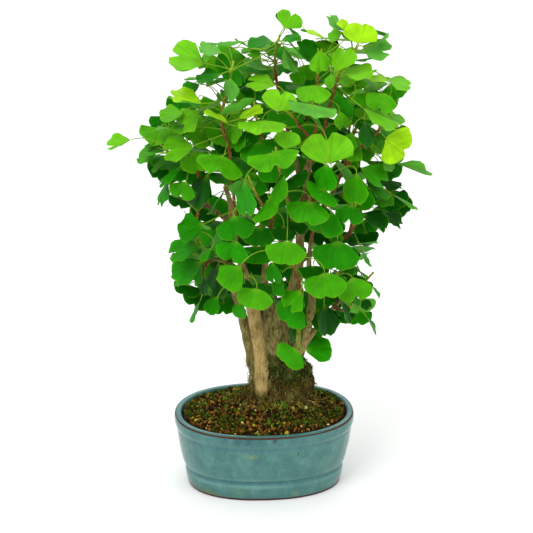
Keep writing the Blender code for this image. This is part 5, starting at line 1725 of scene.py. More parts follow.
@dataclass
class Crown:
    """All leaves placed so far, what they must not touch, and what they must not hide."""

    twigs: list[Twig]
    seed: int = 1866
    tries: int = 26
    axis: tuple[float, float] = (24.0, 4.0)
    depth: tuple[float, float] = (-62.0, 132.0)
    seen_shifts: tuple = (0, -4, 4, -8, 8, -13, 13, -19, 19, -26, 26)
    cover_shifts: tuple = (0, 14, -12, 30)
    cover_grid: tuple[range, range] = (range(160, 400, 9), range(20, 340, 9))
    inner_seed: int = 404
    inner_leaves: int = 4
    backing_grid: tuple[range, range] = (range(150, 410, 6), range(52, 345, 6))
    view_middle: float = 285.0
    tint_seed: int = 77
    most: int = 6000
    golden: float = math.radians(137.508)
    leaves: list[list[tuple[Leaf, Look]]] = field(default_factory=list)

    def __post_init__(self) -> None:
        """Start with bare twigs and an empty view."""
        self.leaves = [[] for _ in self.twigs]
        self.trees: list[BVHTree] = []
        self.middles = np.zeros((self.most, 3))
        self.radii = np.zeros(self.most)
        self.covered = np.zeros((VIEW.size, VIEW.size), bool)
        self.nearest = np.full((VIEW.size, VIEW.size), -np.inf)
        self.tint = np.random.default_rng(self.tint_seed)
        for x, y in OPENINGS:
            self.nearest[y - 3:y + 4, x - 3:x + 4] = np.inf

    def keep(self, solid: Solid) -> None:
        """Remember a shape that later ones must not touch."""
        self.middles[len(self.trees)] = solid.middle
        self.radii[len(self.trees)] = solid.radius
        self.trees.append(solid.tree)

    def touches(self, solid: Solid) -> bool:
        """Whether a shape meets any kept one: only those whose spheres meet are looked at."""
        count = len(self.trees)
        apart = np.linalg.norm(self.middles[:count] - solid.middle, axis=1)
        near = np.nonzero(apart < self.radii[:count] + solid.radius)[0]
        return any(solid.tree.overlap(self.trees[i]) for i in near)

    def is_clear(self, leaf: Leaf) -> bool:
        """Whether the leaf touches nothing, apart from its stalk's root in its own twig."""
        blade = blade_solid(leaf, RULE.clearance)
        stalk = free_stalk(leaf)
        if blade.tree.overlap(stalk.tree):
            return False
        return not (self.touches(blade) or self.touches(stalk))

    def add(self, leaf: Leaf, twig_number: int, look: Look) -> None:
        """Place a leaf on a twig.

        Args:
            leaf: The leaf.
            twig_number: Which twig carries it.
            look: Its colour.
        """
        points = block_leaf(leaf)
        count = len(points) - len(EDGE_SHARES) - 2
        self.keep(blade_solid(leaf, 0.0))
        self.keep(Solid(points[:count], stalk_faces(count)))
        self.leaves[twig_number].append((leaf, look))
        rows, columns, inside, _ = self.footprint(leaf)
        self.covered[rows, columns] |= inside

    @staticmethod
    def footprint(leaf: Leaf) -> tuple:
        """The part of the view a blade covers: rows, columns, which cells in them, and distance."""
        x, y, distance = VIEW.shown(np.concatenate([[leaf.base], rim_points(leaf)]))
        columns = slice(max(0, int(x.min())), int(x.max()) + 2)
        rows = slice(max(0, int(y.min())), int(y.max()) + 2)
        grid_y, grid_x = np.mgrid[rows, columns]
        outline = tuple(zip(x, y))
        inside = in_edge(grid_x.ravel() + 0.5, grid_y.ravel() + 0.5, outline).reshape(grid_x.shape)
        return rows, columns, inside, distance.mean()

    def mark_seen(self, leaf: Leaf) -> None:
        """Remember how near the eye this leaf is, over the part of the view that it covers."""
        rows, columns, inside, distance = self.footprint(leaf)
        held = self.nearest[rows, columns]
        fresh = inside & np.isneginf(held)
        older = inside & ~fresh
        held[fresh] = distance
        held[older] = np.minimum(held[older], distance)

    def hides_seen(self, leaf: Leaf) -> bool:
        """Whether a leaf would cover one that shows, an opening, or ground outside the crown's edge."""
        edge = edge_reach(EDGE_SHARES, leaf.form)
        shares = np.concatenate([EDGE_SHARES] * 3)
        reaches = np.concatenate([edge, 0.7 * edge, 0.4 * edge])
        x, y, distance = VIEW.shown(blade_points(leaf, shares, reaches))
        if not in_edge(x, y, CROWN_EDGE).all():
            return True
        columns, rows = x.astype(int), y.astype(int)
        return bool((distance < self.nearest[rows, columns]).any())

    def painted_light_tone_at(self, y: float, shift: float, spread: float) -> float:
        """Painted light and shade on a leaf's tone by its height in the view: light at the crown's top,
        darker below.

        Args:
            y: Pixels from the top.
            shift: How much lighter than its neighbours: painted light above zero, painted shade below.
            spread: Reach of the random part.

        Returns:
            Tone from 0 to 1.
        """
        high = 0.44 + 0.42 * float(smoothstep(200.0, 105.0, np.array(y)))
        return float(np.clip(high + shift + self.tint.uniform(-spread, spread), 0.0, 1.0))

    def look_of(self, number: int) -> Look:
        """Tone of a leaf read from the view, by its place in the list: painted light on lit leaves, painted
        shade on shaded ones.
        """
        y = LEAVES[number].edge[1]
        if number in FRESH_LEAVES:
            return Look(0.9, self.tint.uniform(0.75, 1.0))
        if number in LIT_LEAVES:
            return Look(self.painted_light_tone_at(y, 0.13, 0.06), 0.03)
        if number in SHADED_LEAVES:
            return Look(self.painted_light_tone_at(y, -0.48, 0.08), 0.0)
        return Look(self.painted_light_tone_at(y, 0.0, 0.1), 0.0)

    def place_seen(self, random: np.random.Generator) -> None:
        """Place the leaves read from the front view, in their order."""
        for number, seen in enumerate(LEAVES):
            self.place_one(seen, leaf_form(random), self.seen_shifts, False, self.look_of(number))

    def place_one(self, seen: Seen, form: tuple, shifts: tuple, hidden: bool, look: Look) -> bool:
        """Root a leaf on the best twig, moving it in depth if something is in its way.

        Args:
            seen: The leaf as read from the view.
            form: Its form.
            shifts: Depth shifts to try.
            hidden: Whether it must not hide a leaf read from the view.
            look: Its colour.

        Returns:
            Whether it found a place.
        """
        for shift in shifts:
            blade = seen_frame(seen._replace(depth=seen.depth + shift))
            for _, number, i, t in stalk_choices(blade[0], blade[2], self.twigs)[:14]:
                for lift in (0.1, -0.12, 0.3):
                    leaf = rooted(blade, form, self.twigs[number], i, t, lift)
                    if (hidden and self.hides_seen(leaf)) or not self.is_clear(leaf):
                        continue
                    self.add(leaf, number, look)
                    if not hidden:
                        self.mark_seen(leaf)
                    return True
        return False

    def grown_leaf(self, twig: Twig, share: float, turn: float, random: np.random.Generator) -> Leaf:
        """A leaf by the growth rule: at a share of the twig's length, at a turn about it.

        It leans away from the crown's axis, droops, and rolls a little about its own axis.

        Args:
            twig: The twig that carries it.
            share: Share of the twig's segments.
            turn: Turn about the twig.
            random: Source of the spread about the rule.

        Returns:
            The leaf.
        """
        path = twig.twig
        at = 1 + share * (len(path) - 2)
        i = min(int(at), len(path) - 2)
        t = at - i
        root = point_on(path, i, t)
        outward = np.array([*(root[:2] - np.array(self.axis)), 0.0])
        spin = math.atan2(outward[1], outward[0]) + 0.62 * (((turn + math.pi) % (2 * math.pi)) - math.pi)
        spin += random.uniform(-0.4, 0.4)
        climb = random.uniform(-0.15, 0.9)
        reach = random.uniform(17.0, 40.0)
        level = np.array([math.cos(spin), math.sin(spin), 0.0])
        base = root + reach * (level * math.cos(climb) + np.array([0.0, 0.0, math.sin(climb)]))
        heading = spin + random.uniform(-0.5, 0.5)
        droop = random.uniform(-0.3, 1.15)
        level = np.array([math.cos(heading), math.sin(heading), 0.0])
        rise = np.array([0.0, 0.0, 1.0])
        axis = level * math.cos(droop) - rise * math.sin(droop)
        face = level * math.sin(droop) + rise * math.cos(droop)
        roll = random.uniform(-0.5, 0.5)
        side = np.cross(axis, face)
        cos, sin = math.cos(roll), math.sin(roll)
        side, face = side * cos + face * sin, face * cos - side * sin
        blade = (base, side, axis, face, random.uniform(22.0, 33.0), math.radians(random.uniform(66, 82)))
        return rooted(blade, leaf_form(random), twig, i, t, None)

    def place_grown(self, random: np.random.Generator, inner: bool = False) -> None:
        """Fill each shoot by the growth rule, with leaves that hide nothing read from the view.

        Args:
            random: Source of the spread about the rule.
            inner: Whether these are the small leaves within the crown that only the looks have.
        """
        for number, twig in enumerate(self.twigs):
            fills = self.inner_leaves if inner else twig.fills
            for k in range(fills):
                for attempt in range(self.tries):
                    share = min(1.0, (k + random.uniform(0.2, 0.8)) / fills)
                    leaf = self.grown_leaf(twig, share, k * self.golden + attempt * 0.9, random)
                    edge = rim_points(leaf)
                    if edge[:, 1].min() < self.depth[0] or edge[:, 1].max() > self.depth[1]:
                        continue
                    if self.hides_seen(leaf) or not self.is_clear(leaf):
                        continue
                    y = float(VIEW.shown(leaf.base)[1][0])
                    # Grown leaves stand within the crown: their darker tone is painted shade
                    self.add(leaf, number, Look(self.painted_light_tone_at(y, -0.14, 0.2), self.tint.uniform(0.0, 0.06)))
                    break

    def gaps(self, columns: range, rows: range, near: int) -> Iterator[tuple[int, int]]:
        """Places of a grid that lie inside the crown's edge with no leaf near them in the view.

        Args:
            columns: The grid's pixels from the left.
            rows: The grid's pixels from the top.
            near: How far about a place no leaf may show.

        Yields:
            Pixels from the left and from the top, each looked at only when its turn comes.
        """
        for y in rows:
            for x in columns:
                held = self.covered[y - near:y + near + 1, x - near:x + near + 1].any()
                if in_edge(np.array([x]), np.array([y]), CROWN_EDGE)[0] and not (
                        held or np.isposinf(self.nearest[y, x])):
                    yield x, y

    def place_cover(self, random: np.random.Generator) -> None:
        """Close the gaps that are left in the front view, from the top down."""
        for x, y in self.gaps(*self.cover_grid, 2):
            self.cover_gap(x, y, random)

    def cover_gap(self, x: int, y: int, random: np.random.Generator) -> None:
        """One leaf over a gap in the view, hanging outwards from the crown's middle."""
        for _ in range(5):
            lean = (x - self.view_middle) * 0.06 + random.uniform(-7, 7)
            drop = random.uniform(11, 21)
            depth = random.uniform(-45, 75)
            span = random.uniform(30, 46)
            seen = Seen((x - lean * 0.5, y - drop * 0.5), (x + lean * 0.5, y + drop * 0.5), span, depth)
            # Cover leaves stand behind: their darker tone is painted shade
            look = Look(self.painted_light_tone_at(y, -0.12, 0.2), 0.0)
            if self.place_one(seen, leaf_form(random), self.cover_shifts, True, look):
                return

    def place_backing(self, random: np.random.Generator) -> None:
        """Close the small gaps that are left, with leaves behind, apart from where wood shows; their dark
        tone is painted shade.

        Args:
            random: Source of the leaves' places and forms.
        """
        for left, top, right, bottom in SHOWN_WOOD:
            self.covered[top:bottom, left:right] = True
        for x, y in self.gaps(*self.backing_grid, 1):
            if y > 84 or 225 < x < 345:
                self.back_gap(x, y, random)

    def back_gap(self, x: int, y: int, random: np.random.Generator) -> None:
        """One leaf behind a small gap, rooted on the best twig, clear of every other blade."""
        for _ in range(7):
            lean = (x - self.view_middle) * 0.05 + random.uniform(-8, 8)
            drop = random.uniform(10, 18)
            seen = Seen((x - lean * 0.5, y - drop * 0.5), (x + lean * 0.5, y + drop * 0.5),
                        random.uniform(26, 40), random.uniform(14, 108))
            blade = seen_frame(seen)
            choices = stalk_choices(blade[0], blade[2], self.twigs)
            if not choices:
                continue
            _, number, i, t = choices[0]
            leaf = rooted(blade, leaf_form(random), self.twigs[number], i, t, 0.1)
            if not self.hides_seen(leaf) and not self.touches(blade_solid(leaf, 0.1)):
                # Backing leaves stand deep in the crown: their dark tone is painted shade
                self.add(leaf, number, Look(self.painted_light_tone_at(y, -0.5, 0.12), 0.0))
                return

    def grow(self, stems: list[Mesh]) -> None:
        """Place all leaves about the stems, in the order that the solids were placed in.

        Args:
            stems: The limbs, stubs and stump, which leaves keep clear of.
        """
        for stem in stems:
            self.keep(Solid(*stem))
        for twig in self.twigs:
            self.keep(Solid(*tube(grown(twig.twig), 4)))
        random = np.random.default_rng(self.seed)
        self.place_seen(random)
        self.place_grown(random)
        self.place_cover(random)
        LOG.info("leaves as in the solids: %d", sum(map(len, self.leaves)))
        random = np.random.default_rng(self.inner_seed)
        self.place_backing(random)
        self.place_grown(random, inner=True)
        LOG.info("leaves with the inner ones: %d", sum(map(len, self.leaves)))


# Trunk and limbs
@dataclass
class Trunk:
    """Old stump with its roots, limbs and stubs, grown into one piece of wood.

    Rows of the stump are (height, shift along x, half size along x, half size along y), rows of the
    roots are (direction in degrees, reach, radius), and rows of a root's course are (share of its
    reach, rise over the soil, share of its radius). Scar and bud are (view x, view y, depth).
    """

    soil: Soil
    twigs: list[Twig]
    rows: tuple = (
        (64.3, 0.0, 32.7, 24.7), (105.5, 0.0, 32.7, 24.7), (107.0, 3.5, 38.5, 27.0),
        (115.0, 4.0, 39.0, 25.0), (130.0, 4.5, 39.0, 22.0), (145.0, 4.5, 36.5, 19.5),
        (155.0, 3.0, 30.0, 18.0), (168.0, 0.0, 21.5, 17.5), (184.0, -1.5, 18.0, 15.0),
        (208.0, -2.5, 17.0, 13.5), (224.0, -3.5, 14.0, 11.0), (236.0, -3.0, 8.5, 7.0))
    roots: tuple = (
        (-84, 46, 5.0), (-62, 50, 5.5), (-34, 54, 6.0), (-8, 56, 6.0), (28, 52, 6.5), (66, 44, 6.0),
        (108, 44, 6.5), (150, 48, 6.0), (184, 50, 6.0), (214, 50, 6.0), (240, 48, 5.5), (258, 44, 4.5))
    root_course: tuple = (
        (0.2, 34.0, 1.15), (0.42, 16.0, 1.0), (0.62, 6.0, 0.85), (0.82, 0.6, 0.62), (1.0, -1.6, 0.42),
        (1.15, -6.0, 0.25))
    scar: tuple[float, float, float] = (258, 351, -6)
    bud: tuple[float, float, float] = (258, 346.5, -8)
    block_sides: int = 12
    stump_sides: int = 40
    stump_rings: int = 44
    voxel: float = 1.0
    furrow_size: tuple[float, float, float] = (6.5, 6.5, 30.0)

    def block(self) -> Mesh:
        """The stump as plain as in the solids, for leaves to keep clear of."""
        x, y = self.soil.trunk_at
        return loft([plan_oval(a, b, z, (x + dx, y), self.block_sides, 2.0, math.radians(4.0))
                     for z, dx, a, b in self.rows])

    def stump(self) -> Mesh:
        """The stump with a lobed section: an oval whose radius swells three and five times round."""
        rows = np.array(self.rows)
        heights = np.linspace(rows[0, 0], rows[-1, 0], self.stump_rings)
        shift, half_x, half_y = (np.interp(heights, rows[:, 0], rows[:, k]) for k in (1, 2, 3))
        rings = plan_oval(half_x, half_y, heights, (0.0, 0.0), self.stump_sides, 2.0, 0.0)
        turn = np.arange(self.stump_sides) * 2 * math.pi / self.stump_sides
        twist = (heights[:, None] - 100.0) * 0.006
        swell = 1 + 0.05 * np.sin(3 * turn + 0.8 + twist) + 0.04 * np.sin(5 * turn + 2.1 - twist)
        rings[..., :2] *= swell[..., None]
        rings[..., 0] += self.soil.trunk_at[0] + shift[:, None]
        rings[..., 1] += self.soil.trunk_at[1]
        return loft(list(rings))

    def root(self, degrees: float, reach: float, radius: float) -> Mesh:
        """One surface root, from the stump down into the soil."""
        way = np.array([math.cos(math.radians(degrees)), math.sin(math.radians(degrees)) * 0.8])
        share, rise, taper = np.array(self.root_course).T
        plan = self.soil.trunk_at + np.outer(share * reach, way)
        height = self.soil.surface(*plan.T) + rise
        return tube(spline(np.column_stack([plan, height, radius * taper]), 4), 12)

    def fused(self) -> bpy.types.Object:
        """Join stump, roots, limbs and stubs, and skin them as one closed surface of even squares."""
        meshes = [self.stump()] + [self.root(*row) for row in self.roots]
        meshes += [tube(smooth_path(limb.knots, 5), 14) for limb in LIMBS]
        meshes += [tube(twig.stub, 12) for twig in self.twigs]
        points, faces = joined(meshes)
        wood = add_mesh("trunk_and_limbs_wood", points, faces)
        skin = wood.modifiers.new("skin", "REMESH")
        skin.mode, skin.voxel_size, skin.use_smooth_shade = "VOXEL", self.voxel * MM, True
        ease = wood.modifiers.new("ease", "SMOOTH")
        ease.factor, ease.iterations = 0.5, 4
        settle(wood)
        return wood

    def nearest_wood(self, points: Array) -> tuple[Array, Array, Array]:
        """Find how pale, how young and how old each place is, by the limb whose surface is nearest.

        Args:
            points: Places on the wood.

        Returns:
            Paleness, youth and age (1 on the stump), each from 0 to 1.
        """
        rows = np.array(self.rows)
        x, y = self.soil.trunk_at
        half_x, half_y = (np.interp(points[:, 2], rows[:, 0], rows[:, k]) for k in (2, 3))
        round_it = np.hypot((points[:, 0] - x) / half_x, (points[:, 1] - y) / half_y)
        above = np.maximum(points[:, 2] - rows[-1, 0], 0.0)
        best = (round_it - 1) * np.minimum(half_x, half_y) + above - 1.5
        pale, young, age = np.zeros(len(points)), np.zeros(len(points)), np.ones(len(points))
        for limb in LIMBS:
            path = smooth_path(limb.knots, 6)
            gaps = np.linalg.norm(points[:, None] - path[None, :, :3], axis=2) - path[None, :, 3]
            where = gaps.argmin(1)
            gap = gaps[np.arange(len(points)), where]
            mine = gap < best
            best = np.where(mine, gap, best)
            share = where / (len(path) - 1)
            start = YOUNG_FROM.get(limb.name, 0.95)
            pale[mine] = PALE_LIMBS.get(limb.name, 0.08)
            young[mine] = (smoothstep(start, start + 0.2, share) * 0.85)[mine]
            thick = path[where, 3]
            age[mine] = np.clip((thick - 3.0) / 9.0, 0.05, 0.6)[mine]
        return pale, young, age

    def build(self) -> bpy.types.Object:
        """Skin the wood, push its bark in and out along the normals, and mark its kinds of skin."""
        wood = self.fused()
        points, normals = surface_of(wood)
        pale, young, age = self.nearest_wood(points)
        marks, push = self.bark_relief(points, pale, young, age)
        points += normals * push[:, None]
        wood.data.vertices.foreach_set("co", (points * MM).astype(np.float32).ravel())
        wood.data.update()
        set_marks(wood, "bark_marks", marks)
        hand_over(wood, Finishes.BARK.value, "ginkgo_bark", "trunk_and_limbs")
        return wood

    def bark_relief(self, points: Array, pale: Array, young: Array, age: Array) -> tuple[Array, Array]:
        """Furrows where stretched noise crosses its middle, lumps, and the scar and bud in front.

        Args:
            points: Places on the wood.
            pale: Paleness of each.
            young: Youth of each.
            age: Age of each.

        Returns:
            Four marks for each place, the fourth setting painted shade in furrows, creases and the scar, and
            how far to push it out.
        """
        warp = (lattice_noise(points, 14.0, 31) - 0.5)[:, None] * np.array([6.0, 6.0, 0.0])
        wide = lattice_noise(points + warp, self.furrow_size, 32)
        fine = lattice_noise(points + warp, (2.6, 2.6, 11.0), 33)
        furrow = smoothstep(0.02, 0.34, np.abs(2 * wide - 1))
        crease = smoothstep(0.0, 0.4, np.abs(2 * fine - 1))
        lump = lattice_noise(points, 15.0, 34) - 0.5
        tight = np.clip(pale, 0, 1) * smoothstep(112.0, 126.0, points[:, 2])
        rough = np.clip(age * (1 - 0.85 * tight), 0.04, 1)
        push = rough * (2.1 * (furrow - 0.6) + 1.1 * (crease - 0.5) + 4.2 * lump) + 0.5 * lump
        scar_at, bud_at = VIEW.place(*self.scar), VIEW.place(*self.bud)
        tilt = points[:, 2] - scar_at[2] - 0.12 * (points[:, 0] - scar_at[0])
        scar = bell(tilt, 0.0, 0.9) * (tight > 0.9)
        bud = bell(np.linalg.norm(points - bud_at, axis=1), 0.0, 2.6) * (tight > 0.9)
        push += bud * 1.1 - scar * 0.7
        beside = smoothstep(0.0, 10.0, points[:, 0]) * smoothstep(174.0, 160.0, points[:, 2])
        mossy = np.maximum(smoothstep(136.0, 114.0, points[:, 2]), beside) * (1 - 0.9 * tight)
        mossy = np.clip(mossy + (lattice_noise(points, 9.0, 35) - 0.5) * 1.1 * (mossy > 0), 0, 1)
        # The fourth mark sets painted shade, low in furrows, creases and the scar line; it also darkens the
        # bud
        depth = 0.35 + 0.65 * np.minimum(furrow, 0.4 + 0.6 * crease)
        depth = np.where(tight > 0.5, 0.75 + 0.25 * crease, depth) * (1 - 0.8 * np.maximum(scar, bud))
        marks = np.stack([tight, np.clip(young, 0, 1), mossy * 0.95, np.clip(depth, 0, 1)], 1)
        return marks, push


# Leafy shoots
@dataclass
class Foliage:
    """Twigs with their spurs and buds, and the leaves on them, one pair of pieces for each shoot."""

    crown: Crown
    half_thick: float = 0.2
    stalk_sizes: tuple[float, float, float] = (0.95, 0.55, 0.72)
    shares: tuple = (-1.0, -0.9, -0.78, -0.64, -0.5, -0.37, -0.25, -0.14, -0.055)
    reaches: tuple = (0.06, 0.38, 0.72, 1.0)

    def __post_init__(self) -> None:
        """Number a blade's points: the outline is shared, the inside is there above and below."""
        left = np.array(self.shares)
        self.columns = np.concatenate([left, [0.0], -left[::-1]])
        rows, columns = len(self.reaches), len(self.columns)
        self.grid_share, self.grid_reach = (
            values.ravel() for values in np.meshgrid(self.columns, np.array(self.reaches)))
        upper = np.arange(rows * columns).reshape(rows, columns)
        inside = np.zeros((rows, columns), bool)
        inside[1:-1, 1:-1] = True
        self.inside = inside.ravel()
        lower = upper.copy()
        lower[inside] = rows * columns + np.arange(inside.sum())
        self.upper_faces = self.split(upper)[:, ::-1]
        self.lower_faces = self.split(lower)

    @staticmethod
    def split(grid: Array) -> Array:
        """Triangles over a grid of point numbers, cut along the same diagonal above and below."""
        a, b, c, d = grid[:-1, :-1], grid[:-1, 1:], grid[1:, 1:], grid[1:, :-1]
        return np.concatenate([np.stack(row, -1).reshape(-1, 3) for row in ((a, b, c), (a, c, d))])

    def blade(self, leaf: Leaf) -> tuple[Array, Array]:
        """Points of a thin closed blade: the leaf's fan with a scalloped edge and finer waves.

        Args:
            leaf: The leaf.

        Returns:
            Points, and their places in the fan: share of the angle from 0 to 1, and reach.
        """
        share, reach = self.grid_share, self.grid_reach
        phase = leaf.form[5]
        scallop = 0.016 * np.sin(13 * share + 2 * phase) + 0.012 * np.sin(29 * share + 5 * phase)
        edge = edge_reach(share, leaf.form) + scallop * (np.abs(share) < 0.97)
        points = blade_points(leaf, share, reach * edge)
        wave = 0.022 * np.sin(8.5 * share + 3 * phase) * reach**3
        wave += 0.012 * np.sin(19 * share + phase) * reach**4
        points += np.outer(leaf.length * wave, leaf.face)
        thick = self.half_thick * leaf.face
        upper = points + thick * self.inside[:, None]
        lower = points[self.inside] - thick
        fan = np.stack([share * 0.5 + 0.5, reach], 1)
        return np.concatenate([upper, lower]), np.concatenate([fan, fan[self.inside]])

    def stalk(self, leaf: Leaf) -> Mesh:
        """The stalk: a round stem on a quadratic curve from the twig to the blade.

        Args:
            leaf: The leaf.

        Returns:
            Places and faces.
        """
        t = np.linspace(0, 1, 7)[:, None]
        far = np.linalg.norm(leaf.base - leaf.root)
        bend = leaf.bend
        if bend is None:
            bend = 0.5 * (leaf.root + leaf.base) * 0.6 + 0.4 * (leaf.base - leaf.axis * far * 0.45)
        end = leaf.base + leaf.axis * leaf.length * 0.1
        line = (1 - t) ** 2 * leaf.root + 2 * t * (1 - t) * bend + t**2 * end
        size = np.interp(t[:, 0], [0, 0.3, 1], self.stalk_sizes)
        size[-1] = 0.25
        return tube(np.column_stack([line, size]), 5)

    def build_leaves(self, twig: Twig, leaves: list[tuple[Leaf, Look]]) -> None:
        """All leaves of a shoot as one piece, with their fan map and colour marks.

        Args:
            twig: The shoot's twig.
            leaves: Its leaves.
        """
        points, faces, fans, tones, lower = [], [], [], [], []
        start = 0
        for leaf, look in leaves:
            blade, fan = self.blade(leaf)
            stalk, stalk_rows = self.stalk(leaf)
            quads = np.concatenate([self.upper_faces, self.lower_faces]) + start
            faces += quads.tolist()
            lower += [0] * len(self.upper_faces) + [1] * len(self.lower_faces)
            faces += [[i + start + len(blade) for i in row] for row in stalk_rows]
            lower += [0] * len(stalk_rows)
            points += [blade, stalk]
            fans += [fan, np.tile([0.5, 0.5], (len(stalk), 1))]
            tones += [np.tile([look.tone, look.fresh, 0.0], (len(blade), 1)),
                      np.tile([look.tone, look.fresh, 1.0], (len(stalk), 1))]
            start += len(blade) + len(stalk)
        piece = add_mesh(twig.name + "_leaves", np.concatenate(points), faces)
        self.write_maps(piece, np.concatenate(fans), np.concatenate(tones), np.array(lower))
        piece.data.set_sharp_from_angle(angle=math.radians(75))
        hand_over(piece, Finishes.LEAF.value, "ginkgo_leaf", twig.name)

    @staticmethod
    def write_maps(piece: bpy.types.Object, fan: Array, tone: Array, lower: Array) -> None:
        """Write the fan map and the colour marks on the corners of the faces.

        Args:
            piece: The leaves.
            fan: Place in the fan of each point.
            tone: Tone with its painted light and shade, youth and stalk mark of each point.
            lower: 1 for each face of an underside.
        """
        mesh = piece.data
        corner = np.empty(len(mesh.loops), np.int32)
        mesh.loops.foreach_get("vertex_index", corner)
        sizes = np.empty(len(mesh.polygons), np.int32)
        mesh.polygons.foreach_get("loop_total", sizes)
        under = np.repeat(lower, sizes)
        mesh.uv_layers.new(name="fan").data.foreach_set("uv", fan[corner].astype(np.float32).ravel())
        marks = np.stack([tone[corner, 0], tone[corner, 1], under, tone[corner, 2]], 1)
        held = mesh.attributes.new("leaf_marks", "FLOAT_COLOR", "CORNER")
        held.data.foreach_set("color", marks.astype(np.float32).ravel())

    def build_twig(self, twig: Twig, leaves: list[tuple[Leaf, Look]]) -> None:
        """The twig with a swelling at each joint, a spur under each stalk and a bud at its tip.

        Args:
            twig: The twig.
            leaves: The leaves whose stalks start on it.
        """
        path = spline(twig.twig, 6)
        along = along_path(path)
        path[:, 3] *= 1 + 0.1 * np.cos(along * 2 * math.pi / 15.0) ** 8
        way = unit(path[-1, :3] - path[-3, :3])
        bud_sizes = np.array([0.5, 1.25, 1.4, 1.0, 0.3])
        bud = path[-1, :3] + np.outer([-0.5, 0.6, 1.8, 3.2, 4.4], way)
        meshes = [tube(path, 8), tube(np.column_stack([bud, bud_sizes]), 7)]
        for leaf, _ in leaves:
            line = stalk_line(leaf)
            out = unit(line[1] - line[0])
            spur = leaf.root + np.outer([-0.3, 1.4, 2.6, 3.3], out)
            meshes.append(tube(np.column_stack([spur, [1.5, 1.75, 1.45, 0.6]]), 7))
        points, faces = joined(meshes)
        piece = add_mesh(twig.name + "_twig", points, faces)
        far = np.linalg.norm(points - path[0, :3], axis=1) / along[-1]
        green = smoothstep(0.45, 0.95, far + 0.3 * (lattice_noise(points, 30.0, 41) - 0.5))
        marks = np.stack([far, green, far, np.ones(len(points))], 1)
        set_marks(piece, "bark_marks", marks)
        hand_over(piece, Finishes.TWIG.value, "ginkgo_bark", twig.name)

    def build(self) -> None:
        """Build the pieces of every shoot."""
        for twig, leaves in zip(self.crown.twigs, self.crown.leaves):
            self.build_twig(twig, leaves)
            if leaves:
                self.build_leaves(twig, leaves)


